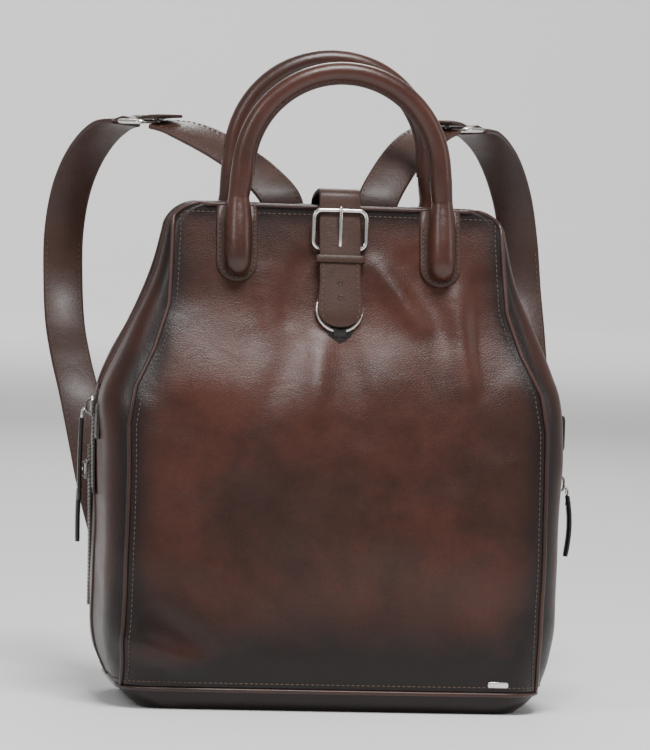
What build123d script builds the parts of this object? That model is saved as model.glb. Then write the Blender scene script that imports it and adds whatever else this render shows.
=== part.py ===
"""Leather backpack with a hinged frame mouth, two rolled handles and a buckled closure strap.

Millimetres. +Z is up, the front faces -Y, and the origin is the centre of the base.
"""
import math
import os

from build123d import *

# ---- driving dimensions -------------------------------------------------------------------
# Sections of the leather body: height, half width, half depth, corner radius.
BODY_SECTIONS = [
    (0, 127, 58, 18),
    (8, 138, 64, 22),
    (20, 146, 68, 25),
    (45, 152, 70, 26),
    (110, 153, 70, 26),
    (170, 155, 65, 25),
    (207, 155, 58, 24),
    (258, 134, 38, 16),
    (290, 121, 29.4, 12),
    (316, 115, 22.4, 9),
    (336, 111, 17, 7),
]
LEATHER = 2.5
TOP_Z = 336.0
HINGE_Z = 207.0
BASE_SEAM_Z = 14.0
TOP_CORNER_RADIUS = 23.0
FOLD_ANGLE = 27.0
GAP = 0.35

PANEL_OUTLINE = [(140, 0), (140, 207), (131, 226), (113, 266), (110, 336)]

ZIP_HALF_WIDTH = 14.0
ZIP_TAPE = 1.2
ZIP_TOP_Z = 331.0

BAR_WIDTH = 9.0
BAR_THICKNESS = 2.0
PIVOT_X = 140.0
PIVOT_RADIUS = 2.5
EAR_RADIUS = 8.0
RUNNING = 0.05

HANDLE_X = 69.0
HANDLE_ARC_RADIUS = 67.0
HANDLE_RADIUS = 7.5
HANDLE_LEG_RADIUS = 8.0
HANDLE_CORE_RADIUS = 4.0
FRONT_HANDLE_RISE = 86.0
REAR_HANDLE_RISE = 95.0
HANDLE_HINGE_Z = 341.0
# A rolled leg starts and ends this far down the slope from the top edge.
LEG_TOP = 11.0
LEG_FOOT = 43.0
TAB_WIDTH = 28.0
TAB_LENGTH = 50.0
TAB_THICKNESS = 2.5

STRAP_WIDTH = 28.0
STRAP_THICKNESS = 2.5
STRAP_STANDOFF = 5.4
STRAP_LENGTH = 84.0
BUCKLE_WIDTH = 38.6
BUCKLE_HEIGHT = 29.0
BUCKLE_WIRE = 3.0
BUCKLE_CENTRE = 17.0
RING_RADIUS = 14.8
RING_WIRE = 3.2

SHOULDER_WIDTH = 28.0
SHOULDER_THICKNESS = 4.0
SHOULDER_BUCKLE_WIDTH = 36.0
SHOULDER_BUCKLE_LENGTH = 24.0
SHOULDER_BUCKLE_WIRE = 3.2
# Routes of the shoulder straps, from the yoke to the lower anchor.
LEFT_UPPER_ROUTE = [
    (-29, 31.8, 300), (-29.5, 26.4, 320), (-34, 27.5, 340), (-50, 42, 358), (-73, 61, 374), (-98, 79, 385),
    (-122, 97, 389),
]
LEFT_LOWER_ROUTE = [
    (-124, 99, 389), (-142, 122, 385), (-155, 148, 368), (-164, 168, 342), (-168, 178, 310), (-168, 174, 276),
    (-167, 158, 246), (-164, 135, 222), (-159, 116, 198), (-153, 104, 168), (-146, 94, 134), (-138, 84, 104),
    (-133, 77.6, 82), (-132, 77.4, 62),
]
# The right strap's buckle sits nearer the middle, because that strap is pulled shorter.
RIGHT_UPPER_ROUTE = [
    (29, 31.8, 300), (29.5, 26.4, 320), (33, 27.5, 340), (45, 42, 360), (60, 60, 377), (78, 78, 388),
    (97, 95, 391),
]
RIGHT_LOWER_ROUTE = [
    (99, 97, 391), (119, 121, 387), (137, 148, 371), (151, 168, 344), (159, 178, 311), (162, 174, 277),
    (163, 158, 247), (161, 135, 223), (157, 116, 198), (152, 104, 168), (145, 94, 134), (138, 84, 104),
    (133, 77.6, 82), (132, 77.4, 62),
]

SLIDER_SIZE = (5.0, 9.0, 14.0)
PULL_WIDTH = 8.0
PULL_THICKNESS = 3.0
SLIDER_HEIGHTS = {"left": 197.0, "right": 152.0}
SLIDER_CLEARANCE = 0.5
PULL_LENGTHS = {"left": 60.0, "right": 46.0, "side": 48.0}
PULL_STANDOFF = 8.0
PULL_DROP = 4.0
KEEPER_DOWN = 36.4
SNAP_DOWN = 71.0
RING_DOWN = 71.0
RING_OUT = 2.6
ANCHOR_CLEARANCE = 0.35

# Cutting blocks reach past the bag by these half sizes and this height.
FAR_X = 200
FAR_Y = 100
FAR_Z = 400

BOARD_SIZE = (248, 108)
BOARD_CORNER = 18
BOARD_THICKNESS = 3
FOAM_THICKNESS = 4.6
FOAM_HALF_WIDTH = 120
LINING_THICKNESS = 0.8
LINING_GAP = 0.7
LINING_BACK_GAP = 5.7
LINING_FLOOR = 8.0
LINING_TOP = 203.0
POCKET_HALF_WIDTH = 85
POCKET_HEIGHTS = (45, 125)
ZIP_END_HALF = 9
ZIP_END_HEIGHTS = (138, 204)
ZIP_PATCH_REACH = (-26, -9.3)
ZIP_PATCH_HEIGHTS = (176, 200)
ZIP_PATCH_THICKNESS = 2.0
SIDE_ZIP_REACH = (24, 40)
SIDE_ZIP_HEIGHTS = (60, 168)
SIDE_ZIP_Y = 32
SIDE_SLIDER_Z = 152
ANCHOR_X = 128
PLATE_SIZE = (14, 4)
PLATE_PLACE = (108, 20)

os.makedirs("parts", exist_ok=True)


# ---- helpers ------------------------------------------------------------------------------
def save(shape, node):
    """Write one node's solids to its own file."""
    solids = shape.solids() if hasattr(shape, "solids") else ShapeList(shape).solids()
    body = solids[0] if len(solids) == 1 else Compound(children=list(solids))
    body.label = node
    export_step(body, f"parts/{node}.step")


def along_x(sketch, x_low, x_high):
    """Extrude a sketch of (y, z) points from one x to another."""
    return extrude(Plane.YZ.offset(x_low) * sketch, x_high - x_low)


def along_y(sketch, y_low, y_high):
    """Extrude a sketch of (x, z) points from one y to another."""
    return extrude(Plane.XZ.offset(-y_high) * sketch, y_high - y_low)


def block(x, y, z):
    """Box between low and high values on each axis."""
    size = (x[1] - x[0], y[1] - y[0], z[1] - z[0])
    centre = (sum(x) / 2, sum(y) / 2, sum(z) / 2)
    return Pos(*centre) * Box(*size)


def polygon(points):
    """Closed face through a list of 2-D points."""
    return make_face(Polyline(*points, close=True))


def mitred(points, distance):
    """Move an open 2-D polyline sideways, to the left of its direction."""
    moved = []
    last = len(points) - 1
    for index, (u, v) in enumerate(points):
        before = points[max(index - 1, 0)]
        after = points[min(index + 1, last)]
        normals = []
        for start, end in ((before, (u, v)), ((u, v), after)):
            length = math.hypot(end[0] - start[0], end[1] - start[1])
            if length:
                normals.append((-(end[1] - start[1]) / length, (end[0] - start[0]) / length))
        normal_u = sum(n[0] for n in normals) / len(normals)
        normal_v = sum(n[1] for n in normals) / len(normals)
        scale = distance / (normal_u**2 + normal_v**2)
        moved.append((u + normal_u * scale, v + normal_v * scale))
    return moved


def band(points, radii, thickness):
    """Face of one thickness, to the left of a 2-D path with rounded corners that turn left."""
    inner_radii = [max(radius - thickness, 0.4) for radius in radii]
    outer = FilletPolyline(*points, radius=radii)
    inner = FilletPolyline(*mitred(points, thickness), radius=inner_radii)
    start_cap = Line(outer @ 0, inner @ 0)
    end_cap = Line(outer @ 1, inner @ 1)
    return make_face([outer, inner, start_cap, end_cap])


def interpolate(table, height):
    """Linear value of a (height, value) table."""
    for (z_low, low), (z_high, high) in zip(table, table[1:]):
        if height <= z_high:
            return low + (high - low) * (height - z_low) / (z_high - z_low)
    return table[-1][1]


def half_width(height):
    return interpolate([(z, w) for z, w, _, _ in BODY_SECTIONS], height)


def half_depth(height):
    return interpolate([(z, d) for z, _, d, _ in BODY_SECTIONS], height)


# ---- leather body -------------------------------------------------------------------------
def body_loft(inset, back_inset=None, floor=0.0, top=TOP_Z):
    """Ruled loft of the body's sections, moved inwards by an inset."""
    back = inset if back_inset is None else back_inset
    sections = []
    heights = [floor] + [z for z, *_ in BODY_SECTIONS if floor < z < top] + [top]
    radii = [(z, r) for z, _, _, r in BODY_SECTIONS]
    for height in heights:
        depth = half_depth(height)
        width = half_width(height) - inset
        front_y = -depth + inset
        back_y = depth - back
        radius = max(interpolate(radii, height) - inset, 1.5)
        outline = RectangleRounded(2 * width, back_y - front_y, radius)
        sections.append(Pos(0, (front_y + back_y) / 2, height) * outline)
    return loft(sections, ruled=True)


def largest(shape):
    """The biggest solid of a shape, without the slivers beside it."""
    return max(shape.solids(), key=lambda solid: solid.volume)


def leather_shell():
    """The bag's leather wall, open at the top, with round corners in front view."""
    outer = body_loft(0)
    hollow = body_loft(LEATHER, floor=LEATHER, top=TOP_Z)
    wide = FAR_X
    corner = polygon([(-wide, -1), (wide, -1), (wide, 300), (111.5, 300), (110.8, TOP_Z), (-110.8, TOP_Z),
                      (-111.5, 300), (-wide, 300)])
    silhouette = along_y(corner, -FAR_Y, FAR_Y)
    top_corners = [e for e in silhouette.edges().filter_by(Axis.Y) if e.center().Z > TOP_Z - 1]
    silhouette = fillet(top_corners, TOP_CORNER_RADIUS)
    return (outer - hollow), silhouette


def panel_prism(y_low, y_high):
    """Prism of the front panel's outline."""
    right = list(PANEL_OUTLINE)
    left = [(-x, z) for x, z in reversed(right)]
    return along_y(polygon(right + left), y_low, y_high)


def front_mouth_region(gap):
    """Everything in front of the zip and above the slanted fold plane."""
    rise = math.tan(math.radians(FOLD_ANGLE))
    near = -ZIP_HALF_WIDTH
    far = -FAR_Y
    profile = polygon([
        (near, HINGE_Z - near * rise + gap), (far, HINGE_Z - far * rise + gap), (far, FAR_Z), (near, FAR_Z),
    ])
    return along_x(profile, -FAR_X, FAR_X)


def make_leather():
    shell, silhouette = leather_shell()
    above_seam = block((-FAR_X, FAR_X), (-FAR_Y, FAR_Y), (BASE_SEAM_Z, FAR_Z))
    base = shell - above_seam
    walls = shell & above_seam
    save(base, "base_panel")

    mouth_front = block((-FAR_X, FAR_X), (-FAR_Y, -ZIP_HALF_WIDTH), (HINGE_Z, FAR_Z))
    zip_lane = block((-FAR_X, FAR_X), (-ZIP_HALF_WIDTH, ZIP_HALF_WIDTH), (HINGE_Z, FAR_Z))
    outline = panel_prism(-FAR_Y, FAR_Y)
    front_half = block((-FAR_X, FAR_X), (-FAR_Y, 0), (0, FAR_Z))
    back_half = block((-FAR_X, FAR_X), (0, FAR_Y), (0, FAR_Z))

    fixed = walls - zip_lane - mouth_front
    save((fixed & outline) & front_half, "front_panel_lower")
    save(((fixed & outline) & back_half) & silhouette, "back_panel")
    sides = (fixed - outline) & silhouette
    left_half = block((-FAR_X, 0), (-FAR_Y, FAR_Y), (0, FAR_Z))
    right_half = block((0, FAR_X), (-FAR_Y, FAR_Y), (0, FAR_Z))
    save(largest(sides & left_half), "left_gusset")
    save(largest(sides & right_half), "right_gusset")

    swinging = (walls - zip_lane) & front_mouth_region(GAP)
    save(((swinging & outline) & silhouette), "front_panel_upper")
    flanks = (swinging - outline) & silhouette
    save(largest(flanks & left_half), "left_mouth_gusset")
    save(largest(flanks & right_half), "right_mouth_gusset")

    fold = ((walls - zip_lane) & mouth_front) - front_mouth_region(0)
    fold = fold & block((-FAR_X, FAR_X), (-FAR_Y, 0), (HINGE_Z + 0.1, FAR_Z))
    save(fold, "mouth_fold")


def make_inside():
    """Stiffener board, foam, lining bag and its pocket."""
    board_z = LEATHER + 0.2
    board = Pos(0, 0, board_z) * extrude(RectangleRounded(*BOARD_SIZE, BOARD_CORNER), BOARD_THICKNESS)
    save(board, "base_board")
    foam_back = [(half_depth(z) - LEATHER - 0.3, z) for z in (200, 170, 110, 45, 26)]
    foam_front = [(y - FOAM_THICKNESS, z) for y, z in reversed(foam_back)]
    save(along_x(polygon(foam_back + foam_front), -FOAM_HALF_WIDTH, FOAM_HALF_WIDTH), "back_padding")
    near = LEATHER + LINING_GAP
    back = LEATHER + LINING_BACK_GAP
    thick = LINING_THICKNESS
    lining = body_loft(near, back, floor=LINING_FLOOR, top=LINING_TOP)
    lining_inside = body_loft(near + thick, back + thick, floor=LINING_FLOOR + thick, top=LINING_TOP)
    save(lining - lining_inside, "lining_bag")
    across = (-POCKET_HALF_WIDTH, POCKET_HALF_WIDTH)
    low, high = POCKET_HEIGHTS
    pocket = block(across, (58.4, 59.4), (low, high)) + block(across, (58.4, 60.8), (low, low + 3))
    save(pocket, "inner_pocket")


# ---- mouth frame and zip ------------------------------------------------------------------
def mouth_path(inset, top_z, foot_z=HINGE_Z + 3):
    """Points of the mouth outline from the left foot over the top, moved in by an inset."""
    left = [(-(half_width(z) - inset), z) for z in (foot_z, 258, 290, 312)]
    left += [(-(half_width(TOP_Z) - inset), top_z)]
    right = [(-x, z) for x, z in reversed(left)]
    return left + right


def make_zip():
    points = mouth_path(0.0, ZIP_TOP_Z, HINGE_Z + 1)
    radii = [40, 30, 30, 24, 24, 30, 30, 40]
    profile = band(list(reversed(points)), radii, ZIP_TAPE)
    save(along_y(profile, 0.3, ZIP_HALF_WIDTH), "rear_zip_tape")
    front = along_y(profile, -ZIP_HALF_WIDTH, -0.3)
    rise = math.tan(math.radians(FOLD_ANGLE))
    keep = polygon([(-0.1, HINGE_Z + 0.6), (-50, HINGE_Z + 0.6 + 50 * rise), (-50, 400), (-0.1, 400)])
    save(front & along_x(keep, -200, 200), "front_zip_tape")


def bar_profile():
    points = [
        (-PIVOT_X, HINGE_Z), (-PIVOT_X, 219), (-135.5, 231), (-126, 257), (-114.5, 289), (-109, 311),
        (-104, 327),
    ]
    points += [(-x, z) for x, z in reversed(points)]
    radii = [20, 20, 20, 20, 20, 16, 16, 20, 20, 20, 20, 20]
    return band(list(reversed(points)), radii, BAR_THICKNESS)


def make_frame():
    """Two bent steel bars that meet on pivot pins at the sides."""
    profile = bar_profile()
    front = along_y(profile, -3 - BAR_WIDTH, -3)
    rear = along_y(profile, 3, 3 + BAR_WIDTH)
    hole = PIVOT_RADIUS + RUNNING
    pins = []
    for side in (-1, 1):
        outer_x = side * (PIVOT_X - BAR_THICKNESS / 2)
        inner_x = side * (PIVOT_X - BAR_THICKNESS * 1.5 - 0.4)
        turn = Rot(0, 90, 0)
        front += Pos(outer_x, 0, HINGE_Z) * turn * Cylinder(EAR_RADIUS, BAR_THICKNESS)
        front += block(sorted((outer_x - 1, outer_x + 1)), (-12, -3), (HINGE_Z, HINGE_Z + 4))
        rear -= block(sorted((side * 141, side * 137)), (0, 13), (200, 217.5))
        rear += Pos(inner_x, 0, HINGE_Z) * turn * Cylinder(EAR_RADIUS, BAR_THICKNESS)
        lug = block(sorted((inner_x - 1, inner_x + 1)), (3, 12), (HINGE_Z, 226))
        bridge = block(sorted((inner_x - 1, side * 138.5)), (3, 12), (221, 226))
        rear += lug + bridge
        front -= Pos(outer_x, 0, HINGE_Z) * turn * Cylinder(hole, 12)
        rear -= Pos(inner_x, 0, HINGE_Z) * turn * Cylinder(PIVOT_RADIUS, 12)
        shank = Pos(side * (PIVOT_X - 1.8), 0, HINGE_Z) * turn * Cylinder(PIVOT_RADIUS, 7.6)
        pins.append(shank)
    save(front, "front_frame_bar")
    save(rear, "rear_frame_bar")
    save(Compound(children=pins), "frame_pivot_pins")


# ---- handles ------------------------------------------------------------------------------
def slope_plane(x, side, outwards=0.0):
    """Plane on the upper panel's outside, at its top edge: local y up the slope, z outwards."""
    run = half_depth(258) - half_depth(TOP_Z)
    rise = TOP_Z - 258
    length = math.hypot(run, rise)
    normal = Vector(0, side * rise / length, run / length)
    origin = Vector(x, side * half_depth(TOP_Z), TOP_Z) + normal * outwards
    return Plane(origin=origin, x_dir=(-side, 0, 0), z_dir=normal)


def handle_tabs(side):
    """Two sewn leather tabs with rounded ends."""
    tabs = []
    for x in (-HANDLE_X, HANDLE_X):
        plane = slope_plane(x, side, 0.05)
        shape = Pos(0, -TAB_LENGTH / 2 - 2) * RectangleRounded(TAB_WIDTH, TAB_LENGTH, TAB_WIDTH / 2 - 0.5)
        tabs.append(extrude(plane * shape, TAB_THICKNESS))
    return Compound(children=tabs)


def handle_legs(side):
    """Two rolled legs that lie on the tabs and end just under the handle's hinge line."""
    legs = []
    for x in (-HANDLE_X, HANDLE_X):
        plane = slope_plane(x, side, 0.1 + TAB_THICKNESS + HANDLE_LEG_RADIUS)
        centre = plane.from_local_coords(Vector(0, -(LEG_TOP + LEG_FOOT) / 2, 0))
        leg_plane = Plane(origin=centre, x_dir=(1, 0, 0), z_dir=plane.y_dir)
        leg = leg_plane * Cylinder(HANDLE_LEG_RADIUS, LEG_FOOT - LEG_TOP)
        tip = Pos(*plane.from_local_coords(Vector(0, -LEG_FOOT, 0))) * Sphere(HANDLE_LEG_RADIUS)
        legs.append(leg + tip)
    return Compound(children=legs)


def handle_y(side):
    centre = slope_plane(0, side, 0.1 + TAB_THICKNESS + HANDLE_LEG_RADIUS).origin
    return centre.Y


def handle_path(side, rise):
    """Arch with a round top and legs that spread a little towards their feet."""
    y = handle_y(side)
    top = HANDLE_HINGE_Z + rise
    centre_z = top - HANDLE_ARC_RADIUS
    drop = centre_z - HANDLE_HINGE_Z
    reach = math.hypot(HANDLE_X, drop)
    angle = math.atan2(drop, HANDLE_X) - math.acos(HANDLE_ARC_RADIUS / reach)
    shoulder_x = HANDLE_ARC_RADIUS * math.cos(angle)
    shoulder_z = centre_z - HANDLE_ARC_RADIUS * math.sin(angle)
    left_leg = Line((-HANDLE_X, y, HANDLE_HINGE_Z), (-shoulder_x, y, shoulder_z))
    arch = ThreePointArc((-shoulder_x, y, shoulder_z), (0, y, top), (shoulder_x, y, shoulder_z))
    right_leg = Line((shoulder_x, y, shoulder_z), (HANDLE_X, y, HANDLE_HINGE_Z))
    return Wire([left_leg.edge(), arch.edge(), right_leg.edge()])


def handle_arch(side, rise):
    """Rolled leather arch and the rope core inside it."""
    path = handle_path(side, rise)
    start = Plane(origin=path @ 0, z_dir=path % 0)
    leather = sweep(start * Circle(HANDLE_RADIUS), path)
    for x in (-HANDLE_X, HANDLE_X):
        leather += Pos(x, handle_y(side), HANDLE_HINGE_Z) * Sphere(HANDLE_RADIUS)
    bore = sweep(start * Circle(HANDLE_CORE_RADIUS + RUNNING), path)
    core = sweep(start * Circle(HANDLE_CORE_RADIUS), path)
    return leather - bore, core


def make_handles():
    for name, side, rise in (("front", -1, FRONT_HANDLE_RISE), ("rear", 1, REAR_HANDLE_RISE)):
        save(handle_tabs(side), f"{name}_handle_tabs")
        save(handle_legs(side), f"{name}_handle_legs")
        leather, core = handle_arch(side, rise)
        save(leather, f"{name}_handle")
        save(core, f"{name}_handle_core")


# ---- closure strap ------------------------------------------------------------------------
def slope_point(distance_down, outwards, side=-1):
    """(y, z) of a point measured down the upper panel from its top edge."""
    point = slope_plane(0, side, outwards).from_local_coords(Vector(0, -distance_down, 0))
    return (point.Y, point.Z)


def make_closure():
    outside = STRAP_STANDOFF + STRAP_THICKNESS
    top_corner = slope_point(-10.5, outside)
    points = [(9.2, 344.4), (-4, 347.2), top_corner, slope_point(STRAP_LENGTH - 12, outside)]
    profile = band(points, [20, 8], STRAP_THICKNESS)
    strap = along_x(profile, -STRAP_WIDTH / 2, STRAP_WIDTH / 2)
    tip_plane = slope_plane(0, -1, STRAP_STANDOFF)
    tip = Pos(0, -STRAP_LENGTH + 15) * RectangleRounded(STRAP_WIDTH + 2, 30, 12)
    strap += extrude(tip_plane * tip, STRAP_THICKNESS)
    slot = Pos(0, -BUCKLE_CENTRE - 6) * SlotOverall(24, 5.2, rotation=90)
    strap -= extrude(slope_plane(0, -1, 0) * slot, 20)
    save(strap, "closure_strap")

    base_points = [(16.9, 338.4), (18.3, 336.4), slope_point(36, 0.3, 1)]
    base_profile = band(list(reversed(base_points)), [1.0], -2.2)
    save(along_x(base_profile, -13.5, 13.5), "closure_strap_base")

    lifted = outside + BUCKLE_WIRE + 0.9 - STRAP_STANDOFF
    tilt = math.degrees(math.asin(lifted / (BUCKLE_HEIGHT - BUCKLE_WIRE)))
    middle = slope_plane(0, -1, STRAP_STANDOFF + STRAP_THICKNESS / 2)
    buckle_plane = Plane(middle.from_local_coords(Vector(0, -BUCKLE_CENTRE, 0)), middle.x_dir, middle.z_dir)
    buckle_plane = buckle_plane.rotated((tilt, 0, 0))
    outer = Pos(0, 0) * RectangleRounded(BUCKLE_WIDTH, BUCKLE_HEIGHT, 8)
    inner = RectangleRounded(BUCKLE_WIDTH - 2 * BUCKLE_WIRE, BUCKLE_HEIGHT - 2 * BUCKLE_WIRE, 4.6)
    frame = extrude(buckle_plane * (outer - inner), BUCKLE_WIRE / 2, both=True)
    save(frame, "closure_buckle")
    bar_local = Vector(0, -BUCKLE_HEIGHT / 2 + BUCKLE_WIRE / 2, 0)
    bar = buckle_plane.from_local_coords(bar_local)
    make_prong(bar, buckle_plane, BUCKLE_HEIGHT - BUCKLE_WIRE, BUCKLE_WIRE, 4.0, "closure_prong")
    print("closure prong axis", bar)

    keeper_plane = slope_plane(0, -1, STRAP_STANDOFF - 1.6)
    spot = Pos(0, -KEEPER_DOWN)
    ring = extrude(keeper_plane * (spot * Rectangle(STRAP_WIDTH + 4.4, 6)), STRAP_THICKNESS + 3.2)
    hole_plane = slope_plane(0, -1, STRAP_STANDOFF - 0.05)
    hole = extrude(hole_plane * (spot * Rectangle(STRAP_WIDTH + 0.2, 8)), STRAP_THICKNESS + 0.1)
    save(ring - hole, "closure_keeper")

    stud = extrude(slope_plane(0, -1, 3.1) * (Pos(0, -SNAP_DOWN) * Circle(6.5)), STRAP_STANDOFF - 3.1)
    save(stud, "snap_stud")
    socket = extrude(slope_plane(0, -1, 0.1) * (Pos(0, -SNAP_DOWN) * Circle(8)), 2.4)
    save(socket, "snap_socket")

    ring_plane = slope_plane(0, -1, RING_OUT)
    centre = ring_plane.from_local_coords(Vector(0, -RING_DOWN, 0))
    ring_solid = Plane(centre, ring_plane.x_dir, ring_plane.z_dir) * Torus(RING_RADIUS, RING_WIRE / 2)
    save(ring_solid, "closure_ring")
    foot = RING_DOWN + RING_RADIUS
    corners = [(-9, 6), (9, 6), (8, -3), (0, -9), (-8, -3)]
    outline = Polyline(*[(x, y - foot) for x, y in corners], close=True)
    anchor = extrude(slope_plane(0, -1, 0.3) * make_face(outline), 3.4)
    loop = Pos(0, -foot) * Rectangle(9, 6.4)
    anchor += extrude(slope_plane(0, -1, 0.8) * loop, 4.0)
    anchor -= body_loft(-ANCHOR_CLEARANCE)
    groove = Plane(centre, ring_plane.x_dir, ring_plane.z_dir) * Torus(RING_RADIUS, RING_WIRE / 2 + RUNNING)
    save(anchor - groove, "ring_anchor")


def make_prong(bar, frame_plane, reach, wire, width, node):
    """Prong with a rolled eye on a square buckle bar and its tip over the other bar."""
    eye_radius = wire * 0.72 + 0.1
    sheet = Plane(bar, x_dir=frame_plane.y_dir, z_dir=-frame_plane.x_dir)
    eye = extrude(sheet * Circle(eye_radius + 0.8), width / 2, both=True)
    rise = wire / 2 + 0.25
    tongue_outline = polygon([
        (0, rise + 0.6), (reach, rise + 0.1), (reach + 3.2, rise - 0.6), (reach + 3.2, rise + 0.9),
        (reach, rise + 2.2),
        (0, eye_radius + 0.8),
    ])
    side = 1 if (sheet.y_dir.dot(frame_plane.z_dir)) > 0 else -1
    if side < 0:
        tongue_outline = mirror(tongue_outline, Plane.XZ)
    tongue = extrude(sheet * tongue_outline, width / 2, both=True)
    hole = extrude(sheet * Circle(eye_radius), width, both=True)
    save((eye + tongue) - hole, node)


# ---- shoulder harness ---------------------------------------------------------------------
def strap_frames(route):
    """Plane across the strap at each point of a route, with its width as level as it can be."""
    points = [Vector(*p) for p in route]
    frames = []
    for index, point in enumerate(points):
        before = points[max(index - 1, 0)]
        after = points[min(index + 1, len(points) - 1)]
        tangent = (after - before).normalized()
        width = (Vector(1, 0, 0) - tangent * tangent.X).normalized()
        frames.append(Plane(origin=point, x_dir=width, z_dir=tangent))
    return frames


def strap_solid(route):
    section = Rectangle(SHOULDER_WIDTH, SHOULDER_THICKNESS)
    return loft([frame * section for frame in strap_frames(route)], ruled=True)


def buckle_plane_between(upper, lower):
    """Plane of a shoulder buckle: local x along its bars, z out of its face."""
    frame = strap_frames([upper[-2], upper[-1], lower[1]])[1]
    return Plane(origin=frame.origin, x_dir=frame.x_dir, z_dir=frame.x_dir.cross(frame.z_dir))


def make_harness():
    routes = {"left": (LEFT_UPPER_ROUTE, LEFT_LOWER_ROUTE), "right": (RIGHT_UPPER_ROUTE, RIGHT_LOWER_ROUTE)}
    for side, (upper, lower) in routes.items():
        plane = buckle_plane_between(upper, lower)
        room = extrude(plane * Rectangle(60, SHOULDER_BUCKLE_LENGTH + 0.8), 8, both=True)
        notch = extrude(plane * Rectangle(5.4, SHOULDER_BUCKLE_LENGTH + 8), 8, both=True)
        save(strap_solid(upper) - room - notch, f"{side}_upper_strap")
        save(strap_solid(lower) - room, f"{side}_lower_strap")
        make_shoulder_buckle(side, plane)
        sign = -1 if side == "left" else 1
        anchor = polygon([(-22, 48), (22, 48), (15, 92), (-15, 92)])
        anchor = along_y(anchor, half_depth(50) + 0.1, half_depth(50) + 4.1)
        save(Pos(sign * ANCHOR_X, 0, 0) * anchor, f"{side}_lower_anchor")
    yoke_plane = slope_plane(0, 1, 0.1)
    yoke = Pos(0, -30) * RectangleRounded(104, 34, 8) - Pos(0, -18) * Rectangle(30, 44)
    save(extrude(yoke_plane * yoke, 2.4), "strap_yoke")


def make_shoulder_buckle(side, plane):
    length = SHOULDER_BUCKLE_LENGTH
    wire = SHOULDER_BUCKLE_WIRE
    outer = RectangleRounded(SHOULDER_BUCKLE_WIDTH, length, 5)
    inner = RectangleRounded(SHOULDER_BUCKLE_WIDTH - 2 * wire, length - 2 * wire, 2.5)
    frame = extrude(plane * (outer - inner), wire / 2, both=True)
    save(frame, f"{side}_strap_buckle")
    bar = plane.from_local_coords(Vector(0, -length / 2 + wire / 2, 0))
    make_prong(bar, plane, length - wire, wire, 4.0, f"{side}_strap_prong")
    print(side, "prong axis", bar, plane.x_dir, "normal", plane.z_dir, "up", plane.y_dir)


# ---- zip sliders, pulls and small trim ----------------------------------------------------
def pull(x, y, z, length, width):
    """Leather pull that hangs from a wire eye, with its hinge line along Y."""
    eye = Rot(90, 0, 0) * (Cylinder(2.6, 3.0) - Cylinder(1.3, 3.0))
    strip = block((-PULL_THICKNESS / 2, PULL_THICKNESS / 2), (-width / 2, width / 2), (-length, -2.2))
    return Pos(x, y, z) * (eye + strip)


def flank_strip(sign, y_range, z_range, thickness):
    """Flat strip that lies on a gusset and follows its height profile."""
    low, high = z_range
    heights = [low] + [z for z, *_ in BODY_SECTIONS if low < z < high] + [high]
    inner = [(sign * (half_width(z) + 0.1), z) for z in heights]
    outer = [(x + sign * thickness, z) for x, z in reversed(inner)]
    return along_y(polygon(inner + outer), *y_range)


def make_small_parts():
    for side, sign in (("left", -1), ("right", 1)):
        save(flank_strip(sign, (-ZIP_END_HALF, ZIP_END_HALF), ZIP_END_HEIGHTS, ZIP_TAPE), f"{side}_zip_end")
        patch = flank_strip(sign, ZIP_PATCH_REACH, ZIP_PATCH_HEIGHTS, ZIP_PATCH_THICKNESS)
        save(patch, f"{side}_zip_patch")
        make_slider(side, sign)
    save(flank_strip(-1, SIDE_ZIP_REACH, SIDE_ZIP_HEIGHTS, ZIP_TAPE), "side_zip_tape")
    pocket_x = -half_width(155) - ZIP_TAPE - 0.4 - SLIDER_SIZE[0] / 2
    save(Pos(pocket_x, SIDE_ZIP_Y, SIDE_SLIDER_Z) * Box(*SLIDER_SIZE), "side_zip_slider")
    hanging = pull(pocket_x - 6.0, SIDE_ZIP_Y, SIDE_SLIDER_Z - 2, PULL_LENGTHS["side"], PULL_WIDTH + 2)
    save(hanging, "side_zip_pull")
    face = half_depth(PLATE_PLACE[1])
    plate = along_y(Pos(*PLATE_PLACE) * RectangleRounded(*PLATE_SIZE, 1), -face - 1.4, -face - 0.4)
    save(plate, "blank_plate")


def make_slider(side, sign):
    """Main zip slider and its hanging pull, on the upright stretch below the mouth hinge."""
    height = SLIDER_HEIGHTS[side]
    x = half_width(170) + ZIP_TAPE + SLIDER_SIZE[0] / 2 + SLIDER_CLEARANCE
    save(Pos(sign * x, 0, height) * Box(*SLIDER_SIZE), f"{side}_zip_slider")
    pull_x = sign * (x + PULL_STANDOFF)
    save(pull(pull_x, 0, height - PULL_DROP, PULL_LENGTHS[side], PULL_WIDTH), f"{side}_zip_pull")
    print(side, "slider x", x, "height", height, "pull eye", pull_x, height - PULL_DROP)


make_leather()
make_inside()
make_zip()
make_frame()
make_handles()
make_closure()
make_harness()
make_small_parts()
print("slope front handle y", handle_y(-1), handle_y(1))
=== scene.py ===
# %% [markdown]
# # A leather backpack with a frame mouth
# The imported model is a fixed frame: every hard part, joint and size is already in it. This lesson
# dresses it: soft leather panels, seams, stitches, rolled handles, straps, zips and their finishes.
# The frame loads first; its parts stay in the scene, and their boxes give places and sizes.

import math

import bpy
import numpy as np
from mathutils import Matrix, Vector, noise


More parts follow.
